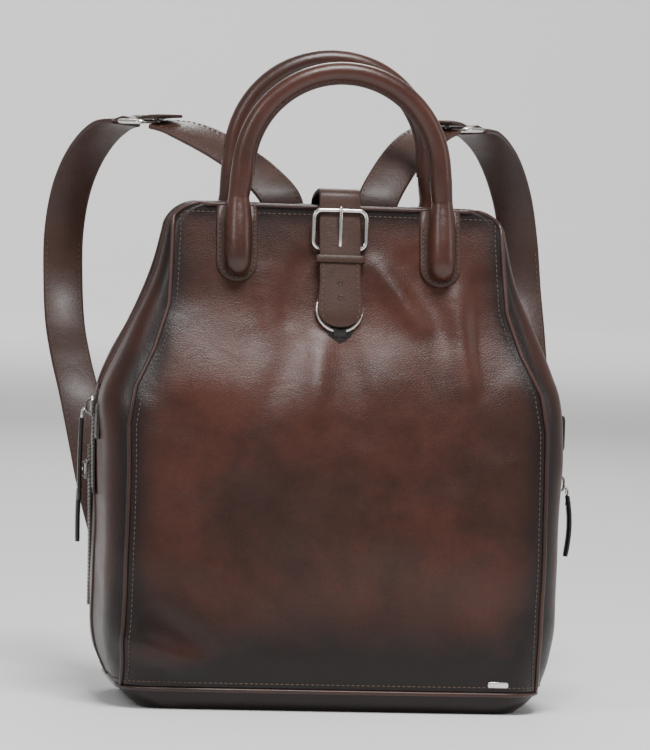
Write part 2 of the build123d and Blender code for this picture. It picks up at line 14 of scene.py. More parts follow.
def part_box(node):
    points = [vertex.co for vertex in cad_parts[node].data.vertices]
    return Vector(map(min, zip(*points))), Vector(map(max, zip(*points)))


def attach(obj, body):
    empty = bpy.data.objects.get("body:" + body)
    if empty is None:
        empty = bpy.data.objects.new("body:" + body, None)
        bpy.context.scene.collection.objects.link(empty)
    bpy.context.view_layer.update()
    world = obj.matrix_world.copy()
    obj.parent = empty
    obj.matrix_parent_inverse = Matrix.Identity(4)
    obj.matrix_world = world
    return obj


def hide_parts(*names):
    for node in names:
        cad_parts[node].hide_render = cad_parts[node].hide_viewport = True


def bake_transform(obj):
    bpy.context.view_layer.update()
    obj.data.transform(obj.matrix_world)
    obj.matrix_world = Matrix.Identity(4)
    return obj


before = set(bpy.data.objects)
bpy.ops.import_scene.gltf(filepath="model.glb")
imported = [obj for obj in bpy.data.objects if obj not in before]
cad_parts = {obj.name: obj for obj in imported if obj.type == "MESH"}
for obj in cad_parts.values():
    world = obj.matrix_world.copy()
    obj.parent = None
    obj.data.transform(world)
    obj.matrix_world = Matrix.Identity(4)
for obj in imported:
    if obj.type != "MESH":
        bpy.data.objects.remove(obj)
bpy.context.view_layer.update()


# %% [markdown]
# ## Small mesh tools
# Everything soft is made as a grid of points: rows along a piece and columns across it. One function
# turns such a grid into an object, and the others make the two shapes that a bag maker uses most,
# a rolled tube and a flat strap. Writing them once keeps each later step short.

# %% Grid, tube and strap builders
MM = 0.001


def new_object(name, vertices, faces, finish, smooth=True):
    mesh = bpy.data.meshes.new(name)
    mesh.from_pydata([tuple(v) for v in vertices], [], faces)
    mesh.polygons.foreach_set("use_smooth", [smooth] * len(mesh.polygons))
    mesh.materials.append(finish)
    mesh.validate()
    piece = bpy.data.objects.new(name, mesh)
    bpy.context.scene.collection.objects.link(piece)
    return piece


def grid_faces(rows, columns, closed=False, flip=False, start=0):
    faces = []
    for row in range(rows - 1):
        for column in range(columns if closed else columns - 1):
            after = (column + 1) % columns
            here, above = start + row * columns, start + (row + 1) * columns
            face = [here + column, here + after, above + after, above + column]
            faces.append(face[::-1] if flip else face)
    return faces


def spread(points, count, closed=False):
    """Points at equal steps along a smooth curve through the given ones."""
    points = [Vector(p) for p in points]
    total = len(points)
    dense = []
    for index in range(total if closed else total - 1):
        if closed:
            a, b, c, d = (points[(index + k - 1) % total] for k in range(4))
        else:
            a, b, c, d = (points[min(max(index + k - 1, 0), total - 1)] for k in range(4))
        for step in range(12):
            t = step / 12
            square, cube = 2 * a - 5 * b + 4 * c - d, 3 * b - a - 3 * c + d
            dense.append(0.5 * (2 * b + (c - a) * t + square * t**2 + cube * t**3))
    dense.append(points[0].copy() if closed else points[-1].copy())
    cloud = np.array([tuple(p) for p in dense])
    reach = np.concatenate([[0], np.cumsum(np.linalg.norm(np.diff(cloud, axis=0), axis=1))])
    wanted = np.linspace(0, reach[-1], count, endpoint=not closed)
    return [Vector([np.interp(s, reach, cloud[:, axis]) for axis in range(3)]) for s in wanted]


def length_of(points):
    return sum((b - a).length for a, b in zip(points, points[1:]))


def circle(centre, across, up, radius, count):
    angles = [2 * math.pi * k / count for k in range(count)]
    return [centre + across * (math.cos(a) * radius) + up * (math.sin(a) * radius) for a in angles]


def mirrored(half):
    """Points up to the middle line, then the same ones back on the other side."""
    return half + [(-x, y) for x, y in half[-2::-1]]


def tangents(points, closed=False):
    result = []
    last = len(points) - 1
    for index in range(len(points)):
        if closed:
            step = points[(index + 1) % len(points)] - points[index - 1]
        else:
            step = points[min(index + 1, last)] - points[max(index - 1, 0)]
        result.append(step.normalized())
    return result


def tube(name, points, radii, finish, sides=16, closed=False, flatten=1.0):
    """Round tube along points, with its own radius at each point and round ends."""
    directions = tangents(points, closed)
    across = directions[0].orthogonal().normalized()
    vertices = []
    for point, direction, radius in zip(points, directions, radii):
        across = (across - direction * across.dot(direction)).normalized()
        up = direction.cross(across)
        for side in range(sides):
            angle = 2 * math.pi * side / sides
            offset = across * (math.cos(angle) * radius) + up * (math.sin(angle) * radius * flatten)
            vertices.append(point + offset)
    rows = len(points)
    faces = grid_faces(rows, sides, closed=True)
    if closed:
        base = (rows - 1) * sides
        shift = min(range(sides), key=lambda k: (vertices[base] - vertices[k]).length)
        for side in range(sides):
            after = (side + 1) % sides
            faces.append([base + side, base + after, (after + shift) % sides, (side + shift) % sides])
    else:
        faces.append(list(range(sides))[::-1])
        faces.append([(rows - 1) * sides + side for side in range(sides)])
    return new_object(name, vertices, faces, finish)


def strap_section(width, thickness):
    """Outline across a strap: flat faces, rounded edges."""
    half, top = width / 2, thickness / 2
    soft = min(thickness * 0.45, width * 0.2)
    outline = []
    for x_sign, y_sign, first in ((1, 1, 0), (-1, 1, 90), (-1, -1, 180), (1, -1, 270)):
        for step in (0, 45, 90):
            angle = math.radians(first + step)
            outline.append((
                x_sign * (half - soft) + soft * math.cos(angle),
                y_sign * (top - soft) + soft * math.sin(angle),
            ))
    return outline


def strap(name, points, widths, thickness, finish, sideways=None):
    """Flat strap along points. Its width lies as near to a given direction as it can."""
    directions = tangents(points)
    vertices = []
    columns = len(strap_section(0.02, thickness))
    for index, (point, direction, width) in enumerate(zip(points, directions, widths)):
        hint = sideways[index] if sideways else Vector((1, 0, 0))
        across = (hint - direction * hint.dot(direction)).normalized()
        outward = across.cross(direction)
        for u, v in strap_section(width, thickness):
            vertices.append(point + across * u + outward * v)
    rows = len(points)
    faces = grid_faces(rows, columns, closed=True)
    faces.append(list(range(columns))[::-1])
    faces.append([(rows - 1) * columns + column for column in range(columns)])
    return new_object(name, vertices, faces, finish)


print("mesh tools ready")

# %% [markdown]
# ## Shader sums in plain Python
# A finish is a recipe of masks and colours. Wiring nodes by hand hides the recipe, so a small class
# wraps a socket: sums and products of masks add Math nodes, and one method makes every other node.

# %% Sockets that can be added and multiplied
class Mask:
    """One output socket of a finish."""

    def __init__(self, recipe, socket):
        self.recipe = recipe
        self.socket = socket

    def math(self, operation, first, second):
        return self.recipe.node("ShaderNodeMath", {"operation": operation}, {0: first, 1: second})

    def __add__(self, other):
        return self.math("ADD", self, other)

    def __sub__(self, other):
        return self.math("SUBTRACT", self, other)

    def __mul__(self, other):
        return self.math("MULTIPLY", self, other)

    __radd__ = __add__
    __rmul__ = __mul__


class Recipe:
    """A material under construction."""

    def __init__(self, name):
        self.material = bpy.data.materials.new(name)
        self.material.use_nodes = True
        self.nodes = self.material.node_tree.nodes
        self.links = self.material.node_tree.links
        self.shader = self.nodes["Principled BSDF"]

    def node(self, kind, settings=None, inputs=None, output=0):
        made = self.nodes.new(kind)
        for key, value in (settings or {}).items():
            if key == "stops":
                ramp = made.color_ramp
                while len(ramp.elements) < len(value):
                    ramp.elements.new(1.0)
                for element, (place, colour) in zip(ramp.elements, value):
                    element.position = place
                    element.color = colour
            else:
                setattr(made, key, value)
        for key, value in (inputs or {}).items():
            self.plug(made.inputs[key], value)
        return Mask(self, made.outputs[output])

    def plug(self, socket, value):
        if isinstance(value, Mask):
            self.links.new(value.socket, socket)
        else:
            socket.default_value = value

    def place(self):
        return self.node("ShaderNodeTexCoord", output="Object")

    def noise(self, scale, detail=3.0, roughness=0.5, distortion=0.0):
        inputs = {"Vector": self.place(), "Scale": scale, "Detail": detail, "Roughness": roughness,
                  "Distortion": distortion}
        return self.node("ShaderNodeTexNoise", {}, inputs)

    def cells(self, scale, feature="F1"):
        return self.node("ShaderNodeTexVoronoi", {"feature": feature},
                         {"Vector": self.place(), "Scale": scale})

    def window(self, mask, low, high):
        """0 below low, 1 above high."""
        return self.node("ShaderNodeMapRange", {"interpolation_type": "SMOOTHSTEP"},
                         {"Value": mask, "From Min": low, "From Max": high})

    def painted(self, name):
        """A mask that the mesh carries on its points."""
        return self.node("ShaderNodeAttribute", {"attribute_name": name}, output="Fac")

    def mix(self, mask, first, second):
        made = self.nodes.new("ShaderNodeMix")
        made.data_type = "RGBA"
        for socket, value in zip((made.inputs[0], made.inputs[6], made.inputs[7]), (mask, first, second)):
            self.plug(socket, value)
        return Mask(self, made.outputs[2])

    def bump(self, height, distance, strength=1.0, below=None):
        inputs = {"Height": height, "Distance": distance, "Strength": strength}
        if below is not None:
            inputs["Normal"] = below
        return self.node("ShaderNodeBump", {}, inputs)

    def finish(self, colour, roughness, normal=None, metallic=0.0, **fixed):
        self.plug(self.shader.inputs["Base Color"], colour)
        self.plug(self.shader.inputs["Roughness"], roughness)
        self.plug(self.shader.inputs["Metallic"], metallic)
        if normal is not None:
            self.plug(self.shader.inputs["Normal"], normal)
        for key, value in fixed.items():
            self.shader.inputs[key.replace("_", " ")].default_value = value
        return self.material


print("shader tools ready")

# %% [markdown]
# ## Burnished leather
# The hide is dyed brown, then polished with dark wax: the wax stays along the seams, and the raised
# middle shows a warmer red-brown. Three things make that: a cloudy mask for the dye, a mask stored on
# the mesh for the dark edges, and a fine cell pattern for the grain. That mesh mask also carries
# painted shade towards the bottom of the bag and a painted highlight on its crumpled lower-left corner.
# A thin coat gives the waxed sheen.

# %% Leather finishes
def leather(name, dark, middle, warm, grain=620.0, sheen=0.28, roughness=0.40, edges=True):
    recipe = Recipe(name)
    cloud = recipe.noise(9.0, 4.0, 0.55, 0.4)
    mottle = recipe.noise(46.0, 5.0, 0.6)
    fine = recipe.noise(340.0, 3.0, 0.6)
    warmth = recipe.window(cloud * 0.75 + mottle * 0.25, 0.33, 0.62)
    colour = recipe.mix(warmth, middle, warm)
    if edges:
        # Mesh mask: dark wax along the seams and painted shade towards the bottom, cut back at a painted
        # highlight; depth mixes in the dark colour by it.
        wax_and_painted_light_mask = recipe.painted("wax")
        depth = recipe.window(wax_and_painted_light_mask + (mottle - 0.5) * 0.5, 0.15, 0.95)
        colour = recipe.mix(depth, colour, dark)
    speckle = recipe.window(fine, 0.35, 0.75)
    colour = recipe.mix(speckle * 0.22, colour, dark)
    pebble = recipe.cells(grain, "DISTANCE_TO_EDGE")
    crease = recipe.noise(34.0, 3.0, 0.5, 0.6)
    grain_bump = recipe.bump(recipe.window(pebble, 0.0, 0.22), 0.00012, 0.40)
    fine_bump = recipe.bump(fine, 0.00012, 0.35, grain_bump)
    crease_bump = recipe.bump(crease, 0.0018, 0.35, fine_bump)
    shine = roughness + (mottle - 0.5) * 0.24 + (fine - 0.5) * 0.12
    return recipe.finish(colour, shine, crease_bump, Coat_Weight=sheen, Coat_Roughness=0.30,
                         Specular_IOR_Level=0.30)


body_leather = leather("burnished_body_leather", (0.0062, 0.0026, 0.0018, 1), (0.0250, 0.0086, 0.0058, 1),
                       (0.0640, 0.0180, 0.0105, 1), sheen=0.12, roughness=0.38)
handle_leather = leather("rolled_handle_leather", (0.0065, 0.0030, 0.0022, 1), (0.028, 0.0098, 0.0066, 1),
                         (0.062, 0.0180, 0.0108, 1), grain=760.0, sheen=0.42, roughness=0.30)
strap_leather = leather("grained_strap_leather", (0.010, 0.006, 0.005, 1), (0.034, 0.0165, 0.0125, 1),
                        (0.054, 0.0240, 0.0170, 1), grain=540.0, sheen=0.12, roughness=0.44)
# Near-black trim leather; on the ring anchor it also stands in for painted shadow under the strap tip.
dark_trim_and_shadow_leather = leather("dark_trim_and_painted_shadow_leather", (0.003, 0.0025, 0.0025, 1), (0.006, 0.0045, 0.0040, 1),
                       (0.010, 0.0065, 0.0055, 1), grain=700.0, sheen=0.3, roughness=0.42)
edge_paint = leather("painted_leather_edge", (0.005, 0.003, 0.0026, 1), (0.022, 0.0080, 0.0055, 1),
                     (0.046, 0.0140, 0.0085, 1), grain=1500.0, sheen=0.4, roughness=0.38)
print("leathers:", body_leather.name, handle_leather.name, strap_leather.name)

# %% [markdown]
# ## Thread, fabric and metal
# Thread is twisted, so a fine stripe across it catches the light. The lining is a twill: two crossed
# waves, one shifted, give the diagonal rib. Nickel is nearly white metal with faint hairline scratches,
# and the frame bars are drawn steel, rougher along their length.

# %% Other finishes
def thread_finish():
    recipe = Recipe("waxed_thread")
    twist = recipe.node("ShaderNodeTexWave", {"bands_direction": "DIAGONAL"},
                        {"Vector": recipe.place(), "Scale": 900.0})
    colour = recipe.mix(twist, (0.055, 0.030, 0.022, 1), (0.120, 0.070, 0.050, 1))
    return recipe.finish(colour, 0.6 + twist * 0.1, recipe.bump(twist, 0.0001, 0.6))


def woven(name, low, high, scale, roughness=0.85):
    recipe = Recipe(name)
    warp = recipe.node("ShaderNodeTexWave", {"bands_direction": "X"},
                       {"Vector": recipe.place(), "Scale": scale})
    weft = recipe.node("ShaderNodeTexWave", {"bands_direction": "Z"},
                       {"Vector": recipe.place(), "Scale": scale})
    weave = warp * 0.5 + weft * 0.5
    fuzz = recipe.noise(scale * 0.4, 3.0)
    colour = recipe.mix(recipe.window(weave + (fuzz - 0.5) * 0.6, 0.2, 0.8), low, high)
    return recipe.finish(colour, roughness + (fuzz - 0.5) * 0.1, recipe.bump(weave, 0.00025, 0.7))


def metal(name, colour, worn, roughness, scratch_scale):
    recipe = Recipe(name)
    scratches = recipe.node("ShaderNodeTexNoise", {}, {
        "Vector": recipe.node("ShaderNodeMapping", {},
                              {"Vector": recipe.place(), "Scale": (1.0, 14.0, 1.0)}),
        "Scale": scratch_scale, "Detail": 4.0,
    })
    smudge = recipe.noise(60.0, 3.0)
    tint = recipe.mix(recipe.window(smudge, 0.35, 0.75), colour, worn)
    shine = roughness + (scratches - 0.5) * 0.14 + (smudge - 0.5) * 0.12
    return recipe.finish(tint, shine, recipe.bump(scratches, 0.00004, 0.4), metallic=1.0)


thread = thread_finish()
zip_fabric = woven("zip_tape_weave", (0.010, 0.008, 0.007, 1), (0.035, 0.026, 0.022, 1), 420.0)
lining_fabric = woven("lining_twill", (0.15, 0.11, 0.08, 1), (0.26, 0.20, 0.15, 1), 300.0)
foam_finish = woven("foam_sheet", (0.20, 0.20, 0.20, 1), (0.34, 0.34, 0.33, 1), 180.0)
rope_finish = woven("cotton_rope", (0.38, 0.32, 0.24, 1), (0.60, 0.53, 0.42, 1), 260.0)
board_finish = woven("pressed_board", (0.05, 0.045, 0.04, 1), (0.09, 0.08, 0.07, 1), 90.0)
nickel = metal("polished_nickel", (0.80, 0.78, 0.74, 1), (0.62, 0.60, 0.57, 1), 0.20, 160.0)
dark_nickel = metal("smoked_nickel", (0.30, 0.28, 0.26, 1), (0.18, 0.17, 0.16, 1), 0.28, 160.0)
steel = metal("drawn_steel", (0.46, 0.46, 0.46, 1), (0.30, 0.29, 0.28, 1), 0.36, 260.0)
print("metals and fabrics ready")

# %% [markdown]
# ## The shape of the bag
# The body is one smooth form: at each height it has a half width, a half depth and rounded corners.
# The sewn panels are cut out of that one form, so their edges always meet. The mouth's top corners are
# round, so near the top the width follows an arc. Soft leather never lies flat: a crown lifts the
# middle of each face, and slow noise and a few named folds pull it in and out.

# %% Body form
BODY_SECTIONS = np.array([
    (0.000, 0.127, 0.058, 0.018), (0.008, 0.138, 0.064, 0.022), (0.020, 0.146, 0.068, 0.025),
    (0.045, 0.152, 0.070, 0.026), (0.110, 0.153, 0.070, 0.026), (0.170, 0.155, 0.065, 0.025),
    (0.207, 0.155, 0.058, 0.024), (0.258, 0.134, 0.038, 0.016), (0.290, 0.121, 0.0294, 0.012),
    (0.316, 0.115, 0.0224, 0.009), (0.336, 0.111, 0.017, 0.007),
])
PANEL_EDGE = np.array([(0.0, 0.140), (0.190, 0.141), (0.214, 0.137), (0.240, 0.124), (0.268, 0.1145),
                       (0.336, 0.1105)])
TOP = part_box("back_panel")[1][2]
HINGE = 0.207
TOP_CORNER = 0.023
ZIP_LANE = 0.0085
SLIDER_LANE = 0.66
SLIDER_LANE_FOOT = 0.141
LEATHER = 0.0022
SEAM_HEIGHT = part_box("front_panel_lower")[0][2]
DEEPEST = -0.0022
FACE_CROWN, SIDE_CROWN = 0.065, 0.016
BROAD_WAVE, FINE_WAVE = 0.0030, 0.0014

# Folds in the front panel: two ends (x, z), half width, height. A negative height is a valley.
FOLDS = [
    ((0.098, 0.284), (0.104, 0.216), 0.010, -0.0044),
    ((0.080, 0.276), (0.086, 0.222), 0.010, 0.0030),
    ((0.026, 0.298), (0.054, 0.260), 0.008, 0.0034),
    ((0.046, 0.300), (0.074, 0.250), 0.010, -0.0018),
    ((-0.024, 0.300), (-0.032, 0.262), 0.007, -0.0026),
    ((-0.012, 0.246), (-0.018, 0.200), 0.008, 0.0022),
    ((0.006, 0.240), (0.016, 0.186), 0.010, -0.0020),
    ((-0.030, 0.244), (-0.052, 0.196), 0.010, -0.0018),
    ((-0.122, 0.262), (-0.128, 0.214), 0.008, -0.0024),
    ((-0.052, 0.290), (-0.046, 0.252), 0.008, 0.0016),
    ((-0.128, 0.214), (-0.070, 0.158), 0.014, -0.0014),
    ((0.120, 0.200), (0.060, 0.150), 0.016, -0.0014),
    ((-0.134, 0.046), (-0.094, 0.030), 0.009, 0.0046),
    ((-0.128, 0.028), (-0.104, 0.018), 0.006, -0.0022),
    ((-0.120, 0.064), (-0.090, 0.044), 0.008, -0.0020),
    ((0.122, 0.052), (0.104, 0.024), 0.007, -0.0022),
    ((-0.110, 0.120), (-0.020, 0.096), 0.020, -0.0012),
    ((0.020, 0.120), (0.110, 0.092), 0.022, 0.0012),
]


def smooth_step(value, low, high):
    t = min(max((value - low) / (high - low), 0.0), 1.0)
    return t * t * (3 - 2 * t)


def section(height, column):
    """Half width (1), half depth (2) or corner radius (3) at a height, with the profile's corners eased."""
    reach = min(0.013, height * 0.5 + 0.0005)
    offsets = np.linspace(-reach, reach, 9)
    return float(np.interp(height + offsets, BODY_SECTIONS[:, 0], BODY_SECTIONS[:, column]).mean())


def corner_limit(height):
    """Half width of the round top corners, a little wider than the body below them."""
    rise = height - (TOP - TOP_CORNER)
    centre = section(TOP - TOP_CORNER, 1) - TOP_CORNER
    if rise <= 0:
        return 1.0
    return centre + math.sqrt(max(TOP_CORNER**2 - rise**2, 0.0))


def half_width(height):
    return min(section(height, 1), corner_limit(height))


outline_cache = {}


def outline(height):
    """Half outline from the middle of the front, round the side, to the middle of the back."""
    key = round(height, 6)
    if key in outline_cache:
        return outline_cache[key]
    width, depth = half_width(height), section(height, 2)
    corner = min(section(height, 3), width * 0.4)
    x = list(np.linspace(0, width - corner, 60))
    y = [-depth] * 60
    for angle in np.linspace(-90, 0, 40)[1:]:
        x.append(width - corner + corner * math.cos(math.radians(angle)))
        y.append(-depth + corner + corner * math.sin(math.radians(angle)))
    for step in np.linspace(-depth + corner, depth - corner, 50)[1:]:
        x.append(width)
        y.append(step)
    for angle in np.linspace(0, 90, 40)[1:]:
        x.append(width - corner + corner * math.cos(math.radians(angle)))
        y.append(depth - corner + corner * math.sin(math.radians(angle)))
    x += list(np.linspace(width - corner, 0, 60)[1:])
    y += [depth] * 59
    x, y = np.array(x), np.array(y)
    crown = smooth_step(height, 0.0, 0.04) * (1 - 0.75 * smooth_step(height, 0.22, 0.275))
    full_y = y * (1 + FACE_CROWN * crown * (1 - np.clip(x / width, 0, 1) ** 2))
    full_x = x * (1 + SIDE_CROWN * crown * (1 - np.clip(np.abs(y) / depth, 0, 1) ** 2))
    along = np.concatenate([[0], np.cumsum(np.hypot(np.diff(full_x), np.diff(full_y)))])
    outline_cache[key] = (full_x, full_y, along)
    return outline_cache[key]


def mark(height, where):
    """How far along the half outline a sewing line lies."""
    x, y, along = outline(height)
    edge = min(float(np.interp(height, PANEL_EDGE[:, 0], PANEL_EDGE[:, 1])), half_width(height) - 0.0006)
    turn = int(np.argmax(x >= edge))
    if where == "front_middle":
        return 0.0
    if where == "front_seam":
        return float(np.interp(edge, x[turn - 1:turn + 1], along[turn - 1:turn + 1]))
    if where == "rear_seam":
        last = len(x) - 1 - int(np.argmax(x[::-1] >= edge))
        return float(np.interp(-edge, -x[last:last + 2], along[last:last + 2]))
    if where == "rear_middle":
        return float(along[-1])
    lane = {"front_lane": -ZIP_LANE, "side_middle": 0.0, "rear_lane": ZIP_LANE}[where]
    if height < HINGE:
        lane *= SLIDER_LANE if height > SLIDER_LANE_FOOT else 0.0
    return float(np.interp(lane, y, along))


def fold_height(x, z):
    total = 0.0
    for (x0, z0), (x1, z1), reach, height in FOLDS:
        run = (x1 - x0, z1 - z0)
        t = ((x - x0) * run[0] + (z - z0) * run[1]) / (run[0] ** 2 + run[1] ** 2)
        t = min(max(t, 0.0), 1.0)
        gap = math.hypot(x - x0 - t * run[0], z - z0 - t * run[1])
        swell = 0.35 + 0.65 * math.sin(math.pi * (0.1 + 0.8 * t))
        total += height * math.exp(-((gap / reach) ** 2)) * swell
    return total


def skin(side, height, along, lift=0.0):
    """Point on the outside of the leather on one side (-1 left, 1 right)."""
    xs, ys, reach = outline(height)
    x = float(np.interp(along, reach, xs))
    y = float(np.interp(along, reach, ys))
    x2 = float(np.interp(along + 0.0005, reach, xs)) - float(np.interp(along - 0.0005, reach, xs))
    y2 = float(np.interp(along + 0.0005, reach, ys)) - float(np.interp(along - 0.0005, reach, ys))
    length = math.hypot(x2, y2) or 1.0
    normal = (y2 / length, -x2 / length)
    place = Vector((side * x, y, height))
    calm = smooth_step(height, 0.004, 0.05) * (1 - 0.75 * smooth_step(height, 0.25, TOP))
    calm *= 1 - 0.85 * math.exp(-((y / 0.014) ** 2)) * smooth_step(height, 0.110, 0.138)
    wave = noise.noise(place * 11.0) * BROAD_WAVE + noise.noise(place * 27.0 + Vector((3, 1, 7))) * FINE_WAVE
    push = wave * calm * (0.4 + 0.6 * smooth_step(abs(x), 0.0, 0.02)) + lift
    if y < 0:
        fade = smooth_step(-y, 0.0, 0.012) * (1 - smooth_step(height, 0.295, 0.32))
        push += fold_height(side * x, height) * fade
    if push < DEEPEST / 2:
        push = DEEPEST / 2 * (2 - math.exp(1 - push / (DEEPEST / 2)))
    return Vector((side * (x + normal[0] * push), y + normal[1] * push, height))


def heights(low, high, rows):
    """Rows up the bag, closer together round the top corners."""
    start = TOP - TOP_CORNER
    if high < start:
        return list(np.linspace(low, high, rows))
    arc = 12
    below = np.linspace(low, start, rows - arc)
    above = [start + TOP_CORNER * math.sin(math.radians(90 * k / arc)) for k in range(1, arc + 1)]
    return list(below) + [min(z, high) for z in above]


print("body top", round(TOP, 4), "width at the hinge", round(2 * half_width(HINGE), 4))

# %% [markdown]
# ## Leather panels
# A bag maker cuts a front, a back and two gussets, and turns the edges in. Each panel here is a grid on
# the body form, given real thickness by Solidify, whose inner face takes the lining cloth. The mesh
# also carries a mask, strongest at the sewn edges, where the dark wax gathers. The front and the
# front half of each gusset stay in world space with no body; the rest rides the bag. Under each end
# of the mouth zip the gusset is parted a little, so that the slider's inner plate has room.

# The same mask also holds painted shade towards the bottom of the bag and a painted highlight on the
# crumpled lower-left corner.
# %% Cut the panels
MOUTH_BEND = ((0, 0, 0.182), (0, 0, 0.246))


def panel(name, rows_at, row_points, edges, flip):
    """Panel from rows of points; edges says which borders are sewn (left, right, bottom, top)."""
    rows, columns = len(rows_at), len(row_points[0])
    points = [point for row in row_points for point in row]
    piece = new_object(name, points, grid_faces(rows, columns, flip=flip), body_leather)
    piece.data.materials.append(lining_fabric)
    wax = piece.data.attributes.new("wax", "FLOAT", "POINT")
    values = []
    for row in range(rows):
        for column in range(columns):
            point = row_points[row][column]
            gaps = []
            if "left" in edges:
                gaps.append((point - row_points[row][0]).length)
            if "right" in edges:
                gaps.append((point - row_points[row][-1]).length)
            if "bottom" in edges:
                gaps.append((rows_at[row] - rows_at[0]) * 0.8)
            if "top" in edges:
                gaps.append(rows_at[-1] - rows_at[row])
            near = min(gaps) if gaps else 1.0
            # Painted shade: this term darkens the leather towards the bottom of the bag.
            low = 1 - smooth_step(rows_at[row], 0.025, 0.105)
            value = 0.85 * math.exp(-near / 0.011) + 0.32 * math.exp(-near / 0.045) + 0.58 * low
            # Painted highlight: the dark mask is cut back on the crumpled lower-left corner.
            painted_highlight = math.exp(-(((point.x + 0.112) / 0.030) ** 2 + ((point.z - 0.038) / 0.010) ** 2))
            values.append(min(value, 1.0) * (1 - 0.75 * painted_highlight))
    wax.data.foreach_set("value", values)
    thick = piece.modifiers.new("leather_thickness", "SOLIDIFY")
    thick.thickness = LEATHER
    thick.offset = -1
    thick.material_offset = 1
    thick.material_offset_rim = 0
    return piece


def wide_rows(rows_at, front):
    """Rows right across the front or the back, seam to seam."""
    result = []
    columns = 66
    for height in rows_at:
        if front:
            ends = (0.0, mark(height, "front_seam"))
        else:
            ends = (mark(height, "rear_middle"), mark(height, "rear_seam"))
        row = []
        for side, order in ((-1, range(columns, 0, -1)), (1, range(0, columns + 1))):
            for column in order:
                share = column / columns
                along = ends[0] + (ends[1] - ends[0]) * share
                row.append(skin(side, height, along))
        result.append(row)
    return result


def side_rows(rows_at, side, first, last, columns):
    result = []
    for height in rows_at:
        start, stop = mark(height, first), mark(height, last)
        steps = np.linspace(start, stop, columns)
        result.append([skin(side, height, float(step)) for step in steps])
    return result


full_height = heights(SEAM_HEIGHT, TOP, 130)
front_panel = panel("front_panel_leather", full_height, wide_rows(full_height, True),
                    ("left", "right", "bottom", "top"), False)
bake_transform(front_panel)
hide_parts("front_panel_lower", "front_panel_upper", "mouth_fold")

back_panel = panel("back_panel_leather", full_height, wide_rows(full_height, False),
                   ("left", "right", "bottom", "top"), True)
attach(back_panel, "bag")
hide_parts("back_panel")

for side, word in ((-1, "left"), (1, "right")):
    front_half = panel(f"{word}_gusset_front_leather", full_height,
                       side_rows(full_height, side, "front_seam", "front_lane", 34), ("left", "bottom"),
                       side < 0)
    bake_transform(front_half)
    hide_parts(f"{word}_mouth_gusset")
    rear_half = panel(f"{word}_gusset_rear_leather", full_height,
                      side_rows(full_height, side, "rear_lane", "rear_seam", 34), ("right", "bottom"),
                      side < 0)
    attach(rear_half, "bag")
    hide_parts(f"{word}_gusset")
print("panel points", len(front_panel.data.vertices), len(back_panel.data.vertices))

# %% [markdown]
# ## Base cover
# The bottom is a shallow tray of leather, turned up to a seam a finger's width above the table. Full
# rings of the same body form make its wall, and shrinking rings close its flat underside.

# %% Base cover
def full_ring(height, count, shrink=1.0, lift=0.0):
    ring = []
    for side, order in ((1, range(count)), (-1, range(count, 0, -1))):
        end = outline(height)[2][-1]
        for step in order:
            point = skin(side, height, end * step / count, lift)
            ring.append(Vector((point.x * shrink, point.y * shrink, point.z)))
    return ring


base_rings = [full_ring(z, 90) for z in (SEAM_HEIGHT, 0.011, 0.008, 0.005, 0.0028, 0.0014, 0.0006)]
base_rings += [full_ring(0.0003, 90, shrink) for shrink in (0.985, 0.95, 0.8, 0.5, 0.2, 0.02)]
base_points = [point for ring in base_rings for point in ring]
base_cover = new_object("base_cover_leather", base_points,
                        grid_faces(len(base_rings), 180, closed=True, flip=True), body_leather)
# The whole base cover takes a strong dark mask: seam wax and painted shade under the bag.
wax = base_cover.data.attributes.new("wax", "FLOAT", "POINT")
wax.data.foreach_set("value", [0.85] * len(base_points))
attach(base_cover, "bag")
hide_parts("base_panel")
print("base rings", len(base_rings))

# %% [markdown]
# ## Piping and stitches
# Where two panels meet, the maker sews in a thin rolled strip: piping. It is a tube that follows the
# sewing line. A stitch is one short bead of thread, so a row of them is a single mesh: one small bead
# shape, copied along a line at an even step and turned to lie on the leather.

# %% Seam lines
def bead_row(name, rows, body, normals=None, step=0.0034, length=0.0023, radius=0.00042, bend=None):
    """Stitches along one or more lines of points."""
    vertices, faces = [], []
    rings = ((-0.5, 0.35), (-0.3, 0.9), (0.3, 0.9), (0.5, 0.35))
    for row_index, points in enumerate(rows):
        places = spread(points, max(int(length_of(points) / step), 3))
        directions = tangents(places)
        normal = normals[row_index] if normals else None
        for place, direction in zip(places, directions):
            up = normal if normal else Vector((place.x, place.y * 2, 0)).normalized()
            across = direction.cross(up).normalized()
            start = len(vertices)
            for along, size in rings:
                vertices += circle(place + direction * (along * length), across, up, radius * size, 6)
            faces += grid_faces(len(rings), 6, closed=True, start=start)
            faces.append([start + k for k in range(6)][::-1])
            faces.append([start + 18 + k for k in range(6)])
    piece = new_object(name, vertices, faces, thread)
    place_piece(piece, body, bend)
    return piece


def place_piece(piece, body, bend=None):
    """Ride one body, or, when a bend is given, stay in world space with no body."""
    if bend:
        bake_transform(piece)
    else:
        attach(piece, body)


MOUTH = ("bag", "front_mouth", MOUTH_BEND)
PIPING = 0.0015


def seam_line(side, rows_at, where, inset=0.0, lift=0.0003):
    """Points beside a sewing line; inset moves them towards the middle of the panel."""
    sign = -1 if where == "front_seam" else 1
    return [skin(side, z, mark(z, where) + sign * inset, lift) for z in rows_at]


